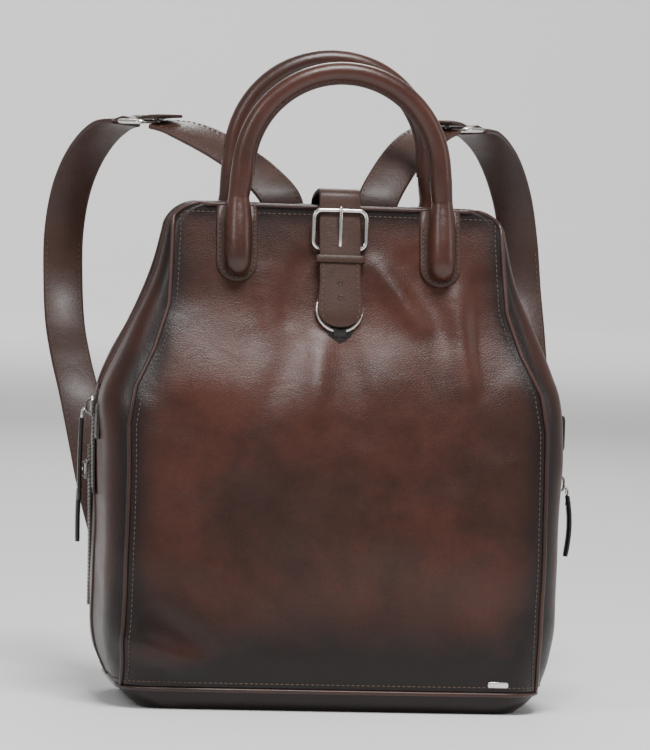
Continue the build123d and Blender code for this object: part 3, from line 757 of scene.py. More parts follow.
def panel_border(where, inset, lift):
    """Up one side of a panel, over its top edge and down the other side."""
    rows_at = heights(SEAM_HEIGHT + 0.001, TOP - 0.0002 - inset, 90)
    left = seam_line(-1, rows_at, where, inset, lift)
    right = seam_line(1, rows_at, where, inset, lift)
    top_z = TOP - 0.0002 - inset
    start, stop = left[-1], right[-1]
    across = []
    for k in range(1, 30):
        share = k / 30
        x = start.x + (stop.x - start.x) * share
        side = -1 if x < 0 else 1
        xs, _, reach = outline(top_z)
        half = len(xs) // 2
        along = float(np.interp(abs(x), xs[:half], reach[:half]))
        if where == "rear_seam":
            along = reach[-1] - along
        across.append(skin(side, top_z, along, lift))
    return left + across + right[::-1]


for where, word, body, bend in (("front_seam", "front", None, MOUTH), ("rear_seam", "back", "bag", None)):
    border = panel_border(where, 0.0, 0.0002)
    piping = tube(f"{word}_panel_piping", spread(border, 420), [PIPING] * 420, edge_paint, sides=10)
    place_piece(piping, body, bend)
    bead_row(f"{word}_panel_stitches", [panel_border(where, 0.0052, 0.0002)], body, bend=bend)

for side, word in ((-1, "left"), (1, "right")):
    low_rows = heights(SEAM_HEIGHT + 0.002, 0.139, 40)
    middle = [skin(side, z, mark(z, "side_middle"), 0.0001) for z in low_rows]
    seam = tube(f"{word}_gusset_seam", spread(middle, 80), [0.0011] * 80, edge_paint, sides=8)
    place_piece(seam, "bag")
    lane_rows = heights(HINGE + 0.006, TOP - 0.001, 60)
    for lane, half, lane_body in (("front_lane", "front", "front_mouth"), ("rear_lane", "rear", "bag")):
        turned = [skin(side, z, mark(z, lane), 0.0) for z in lane_rows]
        edge = tube(f"{word}_{half}_mouth_edge", spread(turned, 110), [0.0015] * 110, edge_paint, sides=8)
        place_piece(edge, lane_body)
        sign = -1 if half == "front" else 1
        row = [skin(side, z, mark(z, lane) + sign * 0.004, 0.0002) for z in lane_rows]
        bead_row(f"{word}_{half}_mouth_stitches", [row], lane_body)

base_line = full_ring(SEAM_HEIGHT, 90, lift=0.0002)
base_piping = tube("base_piping", spread(base_line, 420, closed=True), [0.0016] * 420, edge_paint, sides=10,
                   closed=True)
place_piece(base_piping, "bag")
above = full_ring(SEAM_HEIGHT + 0.005, 90, lift=0.0002)
bead_row("base_stitches", [above + above[:1]], "bag")
print("seams sewn")

# %% [markdown]
# ## The plane of the upper panel
# Tabs, strap, buckle and ring all lie on the sloping upper panel. One helper places a point by how far
# it is across, how far down the slope from the top edge, and how far out, so that everything on the
# front shares one measure. The side is -1 for the front and 1 for the back.

# %% Slope helper
SLOPE_RUN, SLOPE_RISE = 0.021, 0.078
SLOPE = math.hypot(SLOPE_RUN, SLOPE_RISE)
TOP_DEPTH = 0.017


def on_slope(across, down, out, side=-1):
    y = TOP_DEPTH + down * SLOPE_RUN / SLOPE + out * SLOPE_RISE / SLOPE
    z = TOP - down * SLOPE_RISE / SLOPE + out * SLOPE_RUN / SLOPE
    return Vector((across, side * y, z))


def slope_normal(side=-1):
    return Vector((0, side * SLOPE_RISE / SLOPE, SLOPE_RUN / SLOPE))


def sewn_patch(name, outline_points, spine, to_surface, thickness, finish,
               rings=(1.0, 0.985, 0.95, 0.86, 0.6, 0.3, 0.0)):
    """Patch with a rounded edge: rings shrink from its outline to its spine."""
    profile = (0.0, 0.55, 0.85, 1.0, 1.02, 1.04, 1.05)
    nearest = []
    for u, v in outline_points:
        best = min(spine, key=lambda s: (s[0] - u) ** 2 + (s[1] - v) ** 2)
        nearest.append(best)
    vertices = []
    for ring, rise in zip(rings, profile):
        for (u, v), (su, sv) in zip(outline_points, nearest):
            vertices.append(to_surface(su + (u - su) * ring, sv + (v - sv) * ring, thickness * rise))
    return new_object(name, vertices, grid_faces(len(rings), len(outline_points), closed=True), finish)


def slot_outline(half, top, bottom, round_top=False, count=14):
    """Outline of a tab with a round lower end, in (across, down)."""
    points = []
    if round_top:
        points += [(half * math.cos(math.pi * k / count), top + half - half * math.sin(math.pi * k / count))
                   for k in range(count + 1)][::-1]
    else:
        points += [(-half, top), (0, top), (half, top)]
    points += [(half, top + half + (bottom - top - 2 * half) * k / 5) for k in range(0, 6)]
    points += [(half * math.cos(math.pi * k / count), bottom - half + half * math.sin(math.pi * k / count))
               for k in range(1, count)]
    points += [(-half, bottom - half - (bottom - top - 2 * half) * k / 5) for k in range(0, 6)]
    return points


print("slope helper ready")

# %% [markdown]
# ## Rolled handles
# Each handle is a strip of leather rolled round a rope. It starts on a sewn tab, climbs over the top
# edge, narrows where it bends, and makes a round arch. One tube with a changing radius follows the whole
# way. A raised seam runs along its inner side, where the strip's edges are stitched together.

# %% Handles and tabs
handle_box = {"front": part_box("front_handle"), "rear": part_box("rear_handle")}
HANDLE_TUBE = 0.0075
HANDLE_FOOT = 0.341
ARC = 0.067
TAB_HALF, TAB_END = 0.0140, 0.0535


def arch_points(word, inner=0.0):
    """Arch from the left foot over the top to the right foot."""
    low, high = handle_box[word]
    y = (low[1] + high[1]) / 2
    foot_x = (high[0] - low[0]) / 2 - HANDLE_TUBE
    top = high[2] - HANDLE_TUBE - inner
    centre_z = top - ARC + inner
    radius = ARC - inner
    left = []
    for k in range(0, 5):
        share = k / 5
        left.append(Vector((-(foot_x - inner) + share * (foot_x - ARC), y,
                            HANDLE_FOOT + share * (centre_z - HANDLE_FOOT))))
    arch = [Vector((-radius * math.cos(math.radians(a)), y, centre_z + radius * math.sin(math.radians(a))))
            for a in range(0, 181, 9)]
    right = [Vector((-p.x, p.y, p.z)) for p in left[::-1]]
    return left + arch + right


for word, side in (("front", -1), ("rear", 1)):
    parent = "front_mouth" if word == "front" else "bag"
    bend = (parent, f"{word}_handle", ((0, 0, 0.330), (0, 0, 0.348)))
    arch = arch_points(word)
    foot_x = arch[-1].x
    leg = [(0.0452, 0.0040, 0.0052), (0.0446, 0.0052, 0.0074), (0.0425, 0.0072, 0.0085),
           (0.0380, 0.0088, 0.0091), (0.0280, 0.0100, 0.0093), (0.0160, 0.0102, 0.0091),
           (0.0060, 0.0102, 0.0084)]
    left_leg = [on_slope(-foot_x, down, out, side) for down, out, _ in leg]
    right_leg = [on_slope(foot_x, down, out, side) for down, out, _ in leg][::-1]
    path = left_leg + arch + right_leg
    radii = [radius for *_, radius in leg]
    arch_radii = []
    for point in arch:
        up = point.z - HANDLE_FOOT
        swell = 0.0007 * math.exp(-((up - 0.016) / 0.010) ** 2)
        arch_radii.append(0.0070 + swell - 0.0002 * smooth_step(up, 0.03, 0.09))
    radii += arch_radii + radii[::-1]
    dense = spread(path, 240)
    reach = np.concatenate([[0], np.cumsum([(b - a).length for a, b in zip(path, path[1:])])])
    dense_reach = np.concatenate([[0], np.cumsum([(b - a).length for a, b in zip(dense, dense[1:])])])
    dense_radii = np.interp(dense_reach / dense_reach[-1], reach / reach[-1], radii)
    rolled = tube(f"{word}_handle_leather", dense, dense_radii, handle_leather, sides=24)
    place_piece(rolled, None, bend)
    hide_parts(f"{word}_handle", f"{word}_handle_legs")
    inner = [p for p in arch_points(word, inner=HANDLE_TUBE - 0.0004) if p.z > HANDLE_FOOT + 0.012]
    ridge = tube(f"{word}_handle_seam", spread(inner, 160), [0.0016] * 160, edge_paint, sides=8, flatten=0.8)
    place_piece(ridge, f"{word}_handle")
    lines = []
    for offset in (-0.0024, 0.0024):
        lines.append([p + Vector((0, offset, 0)) for p in arch_points(word, inner=HANDLE_TUBE - 0.0012)
                      if p.z > HANDLE_FOOT + 0.012])
    bead_row(f"{word}_handle_stitches", lines, f"{word}_handle", step=0.0038)
    for x, hand in ((-foot_x, "left"), (foot_x, "right")):
        outline_points = slot_outline(TAB_HALF, -0.001, TAB_END)
        spine = [(0, v * MM) for v in range(0, 41, 2)]
        tab = sewn_patch(f"{word}_{hand}_handle_tab", outline_points, spine,
                         lambda u, v, h, x=x, side=side: on_slope(x + u, v, 0.0001 + h, side), 0.0024,
                         strap_leather)
        place_piece(tab, parent)
        if hand == "left":
            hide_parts(f"{word}_handle_tabs")
        border = [(u, v) for u, v in slot_outline(TAB_HALF - 0.0024, 0.002, TAB_END - 0.0024)][2:]
        line = [on_slope(x + u, v, 0.0029, side) for u, v in border]
        bead_row(f"{word}_{hand}_tab_stitches", [line], parent, [slope_normal(side)], step=0.003)
print("handles reach", round(handle_box["rear"][1][2], 4))

# %% [markdown]
# ## The closure strap
# One strap is sewn to the back, passes over the mouth between the handles, and lies on the front
# through its own buckle and keeper. It bends over the back edge; the strap itself stays in world
# space with no body, while its stitches, buckle and keeper ride the closure. Its tip is flared and round.

# %% Strap over the mouth
STRAP_OUT = 0.00665
STRAP_HALF = 0.014
STRAP_END = 0.084


def side_points(pairs, side=-1):
    return [on_slope(0, down * MM, out * MM, side) for down, out in pairs]


back_run = side_points([(36, 1.6), (28, 1.6), (18, 1.7), (8, 1.8)], 1)
over_run = [Vector((0, y * MM, z * MM)) for y, z in (
    (17.0, 338.6), (13.2, 341.8), (9.2, 343.4), (2.5, 345.0), (-4, 346.2), (-11, 347.2), (-16.5, 347.4),
    (-20.6, 345.4))]
front_run = side_points([(-5, 6.9)] + [(down, STRAP_OUT / MM) for down in (4, 17, 30, 45, 60, 74, 84)])
closure_line = spread(back_run + over_run + front_run, 190)


def strap_width(point):
    """Even width, flared near the tip and rounded at its end."""
    if point.y > 0 or point.z > TOP:
        return 2 * STRAP_HALF
    down = (TOP - point.z + STRAP_OUT * SLOPE_RUN / SLOPE) * SLOPE / SLOPE_RISE
    flare = 0.0026 * smooth_step(down, 0.052, 0.070)
    left = max(STRAP_END - down, 0.0)
    rounding = math.sqrt(max(1 - (1 - min(left / 0.012, 1.0)) ** 2, 0.02))
    return (2 * STRAP_HALF + flare) * rounding


closure_strap = strap("closure_strap_leather", closure_line, [strap_width(p) for p in closure_line], 0.0026,
                      strap_leather)
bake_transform(closure_strap)
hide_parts("closure_strap", "closure_strap_base")
for hand, sign in (("left", -1), ("right", 1)):
    edge = side_points([(d, 6.65 + 1.35) for d in range(41, 80, 3)])
    edge = [p + Vector((sign * (strap_width(p) / 2 - 0.0026), 0, 0)) for p in edge]
    bead_row(f"closure_{hand}_stitches", [edge], "closure", [slope_normal(-1)])
print("closure strap length mm", round(length_of(closure_line) / MM))

# %% [markdown]
# ## Buckles and prongs
# Every buckle here is bent from round wire: one closed loop with eased corners, and a prong that wraps
# one bar and rests on the other. The same two functions make the closure buckle and both shoulder
# buckles, because only the place, the size and the body differ.

# %% Wire buckles
def wire_buckle(name, centre, across, up, half_wide, half_high, wire, body):
    corner = min(half_wide, half_high) * 0.42
    loop = []
    for x_sign, y_sign, first in ((1, 1, 0), (-1, 1, 90), (-1, -1, 180), (1, -1, 270)):
        for angle in range(first, first + 91, 15):
            u = x_sign * (half_wide - corner) + corner * math.cos(math.radians(angle))
            v = y_sign * (half_high - corner) + corner * math.sin(math.radians(angle))
            loop.append(centre + across * u + up * v)
    piece = tube(name, loop, [wire / 2] * len(loop), nickel, sides=14, closed=True)
    place_piece(piece, body)
    return piece


def wire_prong(name, bar, up, out, reach, wire, body):
    """Prong with a rolled eye on a bar; its tongue lies on the far bar."""
    eye = circle(bar, up, out, wire * 0.5 + 0.0011, 28)
    roll = tube(f"{name}_eye", eye, [0.0009] * len(eye), nickel, sides=10, closed=True)
    rise = wire / 2 + 0.0015
    line = [(0.0, rise - 0.0006), (0.2, rise + 0.0004), (0.5, rise + 0.0006), (0.8, rise + 0.0003),
            (1.0, rise), (1.1, rise - 0.0006)]
    path = spread([bar + up * (reach * a) + out * b for a, b in line], 40)
    radii = [0.00135 - 0.0004 * smooth_step(k / 39, 0.7, 1.0) for k in range(40)]
    tongue = tube(name, path, radii, nickel, sides=12)
    place_piece(roll, body)
    place_piece(tongue, body)
    return tongue


X = Vector((1, 0, 0))
BUCKLE_DOWN = 0.017
BUCKLE_HALF_WIDE, BUCKLE_HALF_HIGH, BUCKLE_WIRE = 0.0178, 0.013, 0.0030
BUCKLE_RISE = 0.0064
KEEPER_AT, KEEPER_WIDTH = 0.0374, 0.0052
lean = math.asin(BUCKLE_RISE / (2 * BUCKLE_HALF_HIGH))
slope_up = (on_slope(0, 0, 0) - on_slope(0, 0.01, 0)).normalized()
slope_out = slope_normal(-1)
buckle_up = slope_up * math.cos(lean) + slope_out * math.sin(lean)
buckle_out = slope_out * math.cos(lean) - slope_up * math.sin(lean)
buckle_centre = on_slope(0, BUCKLE_DOWN, STRAP_OUT)
closure_buckle = wire_buckle("closure_buckle_wire", buckle_centre, X, buckle_up, BUCKLE_HALF_WIDE,
                             BUCKLE_HALF_HIGH, BUCKLE_WIRE, "closure")
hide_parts("closure_buckle")
closure_prong = wire_prong("closure_prong_wire", buckle_centre - buckle_up * BUCKLE_HALF_HIGH, buckle_up,
                           buckle_out, 2 * BUCKLE_HALF_HIGH, BUCKLE_WIRE, "closure_prong")
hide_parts("closure_prong")


def keeper(name, centre, across, along, out, half, low, high, width, body, finish):
    """Closed leather loop round a strap."""
    corner = 0.0014
    loop = mirrored([(0, low), (half - corner, low), (half, low + corner), (half, high - corner),
                     (half - corner, high), (0, high)])
    points = spread([centre + across * u + out * v for u, v in loop], 72)
    piece = strap(name, points, [width] * 72, 0.0015, finish, [along] * 72)
    place_piece(piece, body)
    return piece


closure_keeper = keeper("closure_keeper_loop", on_slope(0, KEEPER_AT, 0), X, slope_up, slope_out, 0.0158,
                        0.0046, 0.0088, KEEPER_WIDTH, "closure", strap_leather)
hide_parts("closure_keeper")
for hole_down in (0.054, 0.064):
    ring_points = circle(on_slope(0, hole_down, 0.0080), X, slope_up, 0.0015, 18)
    eyelet = tube(f"strap_hole_{round(hole_down * 1000)}", ring_points, [0.0003] * 18, edge_paint, sides=6,
                  closed=True)
    place_piece(eyelet, "closure")

# Painted shadow: the near-black anchor tab, pointed below the strap tip, and its loop sit where the tip and
# ring cast their shadow.
anchor_outline = [(-0.009, 0.0800), (-0.003, 0.0796), (0.003, 0.0796), (0.009, 0.0800)]
anchor_outline += mirrored([(0.0092, 0.084), (0.0080, 0.0890), (0.0040, 0.0925), (0.0, 0.0950)])
ring_anchor = sewn_patch("ring_anchor_painted_shadow_tab", anchor_outline, [(0, v * MM) for v in (84, 86, 88)],
                         lambda u, v, h: on_slope(u, v, 0.0004 + h), 0.0026, dark_trim_and_shadow_leather)
place_piece(ring_anchor, "front_mouth")
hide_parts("ring_anchor")
loop_line = spread(side_points([(81.5, 2.6), (83.2, 4.2), (85.8, 5.3), (88.4, 4.2), (90.2, 2.4)]), 24)
ring_loop = strap("ring_anchor_painted_shadow_loop", loop_line, [0.0086] * 24, 0.0014, dark_trim_and_shadow_leather)
place_piece(ring_loop, "front_mouth")
print("buckles and keepers made")

# %% [markdown]
# ## Zips
# A zip is two woven tapes with a row of metal teeth on each inner edge. The mouth zip runs up one side,
# round the top and down the other, set a little below the leather. One path describes that line; the
# tapes are flat strips beside it, and the teeth are small blocks that alternate across it.

# %% Mouth zip, side zip and their teeth
def mouth_line(drop):
    """Line of the mouth zip in its middle plane, below the leather by drop."""
    rows_at = heights(HINGE + 0.0004, TOP - 0.0001, 70)
    side_line = [(half_width(z), z) for z in rows_at]
    corner_x = side_line[-1][0]
    across = [(corner_x * (1 - 2 * k / 40), TOP) for k in range(1, 40)]
    line = side_line + across + [(-x, z) for x, z in side_line[::-1]]
    points = spread([Vector((x, 0, z)) for x, z in line], 360)
    inward = [d.cross(Vector((0, 1, 0))).normalized() for d in tangents(points)]
    middle = Vector((0, 0, 0.27))
    return [p + n * (drop if n.dot(middle - p) > 0 else -drop) for p, n in zip(points, inward)]


def teeth(name, points, normals, sign, body, pitch=0.0026):
    """Blocks on one side of a zip, half a pitch out of step with the other side."""
    count = int(length_of(points) / pitch) * 2
    places = spread(points, count)
    directions = tangents(places)
    vertices, faces = [], []
    across = Vector((0, 1, 0))
    for index in range(0 if sign < 0 else 1, count, 2):
        place, direction = places[index], directions[index]
        out = across.cross(direction).normalized()
        if normals * out.dot(place - Vector((0, 0, 0.2))) < 0:
            out = -out
        start = len(vertices)
        for lift, tight in ((-0.0004, 1.0), (0.0008, 0.82)):
            for u, v in ((-0.0008, -0.5), (0.0008, -0.5), (0.0008, 2.6), (-0.0008, 2.6)):
                offset = direction * (u * tight * 0.72) + across * (sign * v * tight * MM) + out * lift
                vertices.append(place + offset)
        faces += [[start + k for k in (3, 2, 1, 0)], [start + k for k in (4, 5, 6, 7)]]
        faces += [[start + k, start + (k + 1) % 4, start + (k + 1) % 4 + 4, start + k + 4] for k in range(4)]
    piece = new_object(name, vertices, faces, dark_nickel, smooth=False)
    place_piece(piece, body)
    return piece


zip_line = mouth_line(0.0026)
for word, sign, body in (("front", -1, "front_mouth"), ("rear", 1, "bag")):
    middle = [p + Vector((0, sign * 0.0062, 0)) for p in zip_line]
    tape = strap(f"{word}_mouth_tape", middle, [0.0108] * len(middle), 0.0007, zip_fabric,
                 [Vector((0, 1, 0))] * len(middle))
    place_piece(tape, body)
    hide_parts(f"{word}_zip_tape")
    teeth(f"{word}_mouth_teeth", zip_line, 1, sign, body)

for word, sign in (("left", -1), ("right", 1)):
    rows_at = list(np.linspace(0.138, 0.2068, 30))
    face = [Vector((sign * (section(z, 1) * 1.016 + 0.0012), 0, z)) for z in rows_at]
    tape = strap(f"{word}_zip_end_tape", face, [0.0180] * 30, 0.0010, zip_fabric, [Vector((0, 1, 0))] * 30)
    place_piece(tape, "bag")
    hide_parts(f"{word}_zip_end")
    proud = [p + Vector((sign * 0.0007, 0, 0)) for p in face[2:]]
    for half_sign, half in ((-1, "front"), (1, "rear")):
        teeth(f"{word}_{half}_end_teeth", proud, 1, half_sign, "bag")
    patch_outline = [(-0.026, 0.178), (-0.024, 0.176), (-0.0113, 0.176), (-0.0093, 0.178), (-0.0093, 0.198),
                     (-0.0113, 0.200), (-0.024, 0.200), (-0.026, 0.198)]
    patch = sewn_patch(f"{word}_zip_patch_leather", patch_outline,
                       [(-0.0176, z * MM) for z in (186, 188, 190)],
                       lambda u, v, h, s=sign: Vector((s * (section(v, 1) * 1.014 + 0.0004 + h), u, v)),
                       0.0018, dark_trim_and_shadow_leather)
    place_piece(patch, "bag")
    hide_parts(f"{word}_zip_patch")

POCKET_Y = 0.032
pocket_rows = list(np.linspace(0.060, 0.168, 44))
pocket_line = [Vector((-(section(z, 1) * 1.012 + 0.0012), POCKET_Y, z)) for z in pocket_rows]
pocket_tape = strap("side_pocket_tape", pocket_line, [0.0160] * 44, 0.0010, zip_fabric,
                    [Vector((0, 1, 0))] * 44)
place_piece(pocket_tape, "bag")
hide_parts("side_zip_tape")
pocket_proud = [p + Vector((-0.0007, 0, 0)) for p in pocket_line]
for half_sign, half in ((-1, "front"), (1, "rear")):
    teeth(f"side_pocket_{half}_teeth", pocket_proud, 1, half_sign, "bag")
print("zip line length mm", round(length_of(zip_line) / MM))

# %% [markdown]
# ## Sliders and pulls
# A slider is two shaped plates joined by a post, with a loop on its outer plate. A leather pull hangs
# from the loop on a wire link, folded round it and held by a rivet. Each slider and each pull rides its
# own body, so a zip can run and its pull can swing.

# %% Three sliders with their pulls
def plate(name, outline_points, face_x, thick, body):
    """Shaped plate in a plane of constant x, with eased edges."""
    count = len(outline_points)
    cy = sum(p[0] for p in outline_points) / count
    cz = sum(p[1] for p in outline_points) / count
    vertices = []
    for share, size in ((-0.5, 0.9), (-0.25, 1.0), (0.25, 1.0), (0.5, 0.9)):
        x = face_x + thick * share
        vertices += [Vector((x, cy + (y - cy) * size, cz + (z - cz) * size)) for y, z in outline_points]
    faces = grid_faces(4, count, closed=True)
    faces.append(list(range(count))[::-1])
    faces.append([3 * count + k for k in range(count)])
    piece = new_object(name, vertices, faces, dark_nickel, smooth=False)
    place_piece(piece, body)
    return piece


def zip_slider(word, sign, y, width, rivet_share, curve):
    """Slider in the place of its packed block, and the pull that hangs on it."""
    slider_node = "side_zip_slider" if word == "side" else f"{word}_zip_slider"
    pull_node = slider_node.replace("slider", "pull")
    low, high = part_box(slider_node)
    mid_z, outer = (low[2] + high[2]) / 2, (high[0] if sign > 0 else low[0])
    shape = mirrored([(0.0030, -0.0068), (0.0040, -0.0020), (0.0045, 0.0040), (0.0030, 0.0068),
                      (0.0, 0.0052)])
    outline_points = [(y + a, mid_z + b) for a, b in shape]
    top = plate(f"{word}_slider_top", outline_points, outer - sign * 0.0009, 0.0016, f"{word}_slider")
    plate(f"{word}_slider_base", outline_points, outer - sign * 0.0040, 0.0012, f"{word}_slider")
    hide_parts(slider_node)
    arch = ((-0.001, 0.0050), (0.0022, 0.0038), (0.0028, 0.0), (0.0022, -0.0038), (-0.001, -0.0050))
    bridge = [Vector((outer + sign * out, y, mid_z + up)) for out, up in arch]
    loop = tube(f"{word}_slider_loop", spread(bridge, 30), [0.0009] * 30, dark_nickel, sides=10)
    place_piece(loop, f"{word}_slider")
    pull_low, pull_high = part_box(pull_node)
    eye_x = (pull_low[0] + pull_high[0]) / 2
    eye_z = pull_high[2] - 0.0026
    bottom = pull_low[2]
    link = []
    for u, v in ((-1, 0.3), (-1, 1.0), (0, 1.25), (1, 1.0), (1, 0.3), (1, -1.6), (0, -1.9), (-1, -1.6)):
        link.append(Vector((eye_x - sign * 0.0016 * max(v, 0.0), y + 0.0030 * u, eye_z + 0.0020 * v)))
    wire = tube(f"{word}_pull_link", spread(link, 48, closed=True), [0.0007] * 48, nickel, sides=8,
                closed=True)
    place_piece(wire, f"{word}_pull")
    start = eye_z - 0.0040
    points = []
    for k in range(31):
        share = k / 30
        bow = sign * curve * math.sin(math.pi * share)
        points.append(Vector((eye_x + bow, y, start + (bottom + 0.0004 - start) * share)))
    widths = []
    for k in range(31):
        spring, tip = smooth_step(k / 30, 0.0, 0.3), smooth_step(k / 30, 0.93, 1.0)
        widths.append(width * (0.62 + 0.38 * spring) * (1 - 0.45 * tip))
    leather_pull = strap(f"{word}_pull_leather", points, widths, 0.0028, dark_trim_and_shadow_leather,
                         [Vector((0, 1, 0))] * 31)
    place_piece(leather_pull, f"{word}_pull")
    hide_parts(pull_node)
    rivet_at = points[int(30 * rivet_share)]
    rivet = [rivet_at + Vector((sign * d, 0, 0)) for d in (-0.0019, -0.0012, 0.0012, 0.0017, 0.0020)]
    head = tube(f"{word}_pull_rivet", rivet, [0.0016, 0.0019, 0.0019, 0.0014, 0.0005], nickel, sides=16)
    place_piece(head, f"{word}_pull")


zip_slider("left", -1, 0.0, 0.0074, 0.86, 0.0004)
zip_slider("right", 1, 0.0, 0.0080, 0.14, 0.0020)
zip_slider("side", -1, POCKET_Y, 0.0098, 0.12, 0.0004)
print("sliders and pulls made")

# %% [markdown]
# ## Shoulder straps
# Each shoulder strap is two lengths joined by a buckle: an upper one sewn under the yoke, and a long
# lower one that comes up round the arm and passes through the buckle with its tail lying on the upper
# one. The straps keep the open curve they have when the bag is worn, and show their broad face upward.

# %% Upper and lower straps
STRAP_ROUTES = {
    "left": (
        ((-29, 31.8, 300), (-29.5, 26.4, 320), (-34, 27.5, 340), (-50, 42, 358), (-73, 61, 374),
         (-98, 79, 385), (-122, 97, 389)),
        ((-124, 99, 389), (-142, 122, 385), (-155, 148, 368), (-164, 168, 342), (-168, 178, 310),
         (-168, 174, 276), (-167, 158, 246), (-164, 135, 222), (-159, 116, 198), (-153, 104, 168),
         (-146, 94, 134), (-138, 84, 104), (-133, 77.6, 82), (-132, 77.4, 62)),
    ),
    "right": (
        ((29, 31.8, 300), (29.5, 26.4, 320), (33, 27.5, 340), (45, 42, 360), (60, 60, 377), (78, 78, 388),
         (97, 95, 391)),
        ((99, 97, 391), (119, 121, 387), (137, 148, 371), (151, 168, 344), (159, 178, 311), (162, 174, 277),
         (163, 158, 247), (161, 135, 223), (157, 116, 198), (152, 104, 168), (145, 94, 134), (138, 84, 104),
         (133, 77.6, 82), (132, 77.4, 62)),
    ),
}
SHOULDER_WIDTH = 0.028
SHOULDER_THICKNESS = 0.0036
SHOULDER_BUCKLE_WIDE, SHOULDER_BUCKLE_HIGH, SHOULDER_WIRE = 0.0164, 0.0104, 0.0032
ANCHOR_X = 0.128


def level_widths(points):
    """Width direction at each point, as level across the bag as the strap's run allows."""
    return [(X - t * t.x).normalized() for t in tangents(points)]


def strap_edges(points, sideways, inset, lift):
    """Two lines on the broad face of a strap, for its stitches."""
    lines = [[], []]
    for point, direction, across in zip(points, tangents(points), sideways):
        out = across.cross(direction)
        if out.z < 0 or (abs(out.z) < 0.2 and out.y < 0):
            out = -out
        for line, sign in zip(lines, (-1, 1)):
            line.append(point + across * (sign * (SHOULDER_WIDTH / 2 - inset)) + out * lift)
    return lines


for word, (upper, lower) in STRAP_ROUTES.items():
    centre = Vector(upper[-1]) * MM
    up = (Vector(lower[1]) - Vector(upper[-2])).normalized()
    across = (X - up * up.x).normalized()
    out = across.cross(up)
    if out.z < 0:
        out = -out
    upper_line = spread([Vector(p) * MM for p in upper], 120)[:-9]
    lower_line = spread([Vector(p) * MM for p in lower], 260)[9:]
    for part, line in (("upper", upper_line), ("lower", lower_line)):
        sideways = level_widths(line)
        piece = strap(f"{word}_{part}_strap_leather", line, [SHOULDER_WIDTH] * len(line), SHOULDER_THICKNESS,
                      strap_leather, sideways)
        place_piece(piece, "bag")
        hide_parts(f"{word}_{part}_strap")
        trimmed = slice(6, -6)
        edges = strap_edges(line[trimmed], sideways[trimmed], 0.0028, SHOULDER_THICKNESS / 2 + 0.0001)
        bead_row(f"{word}_{part}_strap_stitches", edges, "bag", step=0.0042)
    buckle = wire_buckle(f"{word}_shoulder_buckle", centre, across, up, SHOULDER_BUCKLE_WIDE,
                         SHOULDER_BUCKLE_HIGH, SHOULDER_WIRE, "bag")
    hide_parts(f"{word}_strap_buckle")
    prong = wire_prong(f"{word}_shoulder_prong", centre - up * SHOULDER_BUCKLE_HIGH, up, out,
                       2 * SHOULDER_BUCKLE_HIGH, SHOULDER_WIRE, f"{word}_prong")
    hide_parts(f"{word}_strap_prong")
    tail = spread([centre + up * (v * MM) + out * (h * MM) for v, h in
                   ((16, 0.6), (8, 2.6), (0, 0.2), (-8, 2.9), (-14, 4.0), (-24, 4.6))], 40)
    tail_piece = strap(f"{word}_strap_tail", tail, [0.0255] * 40, 0.0022, strap_leather, [across] * 40)
    place_piece(tail_piece, "bag")
    sign = -1 if word == "left" else 1
    anchor_outline = mirrored([(-0.022, 0.049), (-0.012, 0.048), (0.0, 0.048)])
    anchor_outline += mirrored([(0.0205, 0.062), (0.0180, 0.078), (0.0150, 0.0915), (0.0, 0.092)])
    flat_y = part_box(f"{word}_lower_anchor")[0][1]
    anchor = sewn_patch(f"{word}_lower_anchor_leather", anchor_outline,
                        [(0, v * MM) for v in range(60, 82, 4)],
                        lambda u, v, h, s=sign, y=flat_y: Vector((s * ANCHOR_X - u, y + h, v)), 0.0036,
                        strap_leather)
    place_piece(anchor, "bag")
    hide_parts(f"{word}_lower_anchor")
    border = [Vector((sign * ANCHOR_X - u * 0.84, flat_y + 0.0040, 0.070 + (v - 0.070) * 0.86))
              for u, v in anchor_outline]
    bead_row(f"{word}_anchor_stitches", [border + border[:1]], "bag", [Vector((0, 1, 0))])

yoke_outline = mirrored([(-0.052, 0.020), (-0.050, 0.0145), (-0.044, 0.013), (-0.030, 0.013),
                         (-0.0155, 0.013), (-0.0155, 0.028), (-0.0155, 0.0400), (0.0, 0.0405)])
yoke_outline += mirrored([(0.052, 0.040), (0.050, 0.0455), (0.044, 0.047), (0.0, 0.047)])
yoke_spine = [(-0.034, v * MM) for v in range(24, 44, 4)] + [(u * MM, 0.0436) for u in range(-30, 31, 4)]
yoke_spine += [(0.034, v * MM) for v in range(24, 44, 4)]
yoke = sewn_patch("yoke_leather", yoke_outline, yoke_spine, lambda u, v, h: on_slope(u, v, 0.0014 + h, 1),
                  0.0026, strap_leather)
place_piece(yoke, "bag")
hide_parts("strap_yoke")
print("shoulder straps made")

# %% [markdown]
# ## Small trim and the inside
# A plain metal plate with no lettering sits low on the front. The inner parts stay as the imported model
# has them, and only take their finishes: lining, pocket, foam, board, frame bars, pins and rope cores.

# %% Plate and inner finishes
plate_along = mark(0.020, "front_seam") * 0.78
plate_at = skin(1, 0.021, plate_along, 0.0002)
plate_side = [(-0.0070, -0.0012), (-0.0062, -0.0020), (0.0062, -0.0020), (0.0070, -0.0012)]
plate_outline = plate_side + [(-u, -v) for u, v in plate_side]
blank_plate = sewn_patch("blank_metal_plate", plate_outline, [(u * MM, 0) for u in (-4, -2, 0, 2, 4)],
                         lambda u, v, h: plate_at + Vector((u, -h, v)), 0.0008, nickel)
place_piece(blank_plate, "bag")
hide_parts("blank_plate")

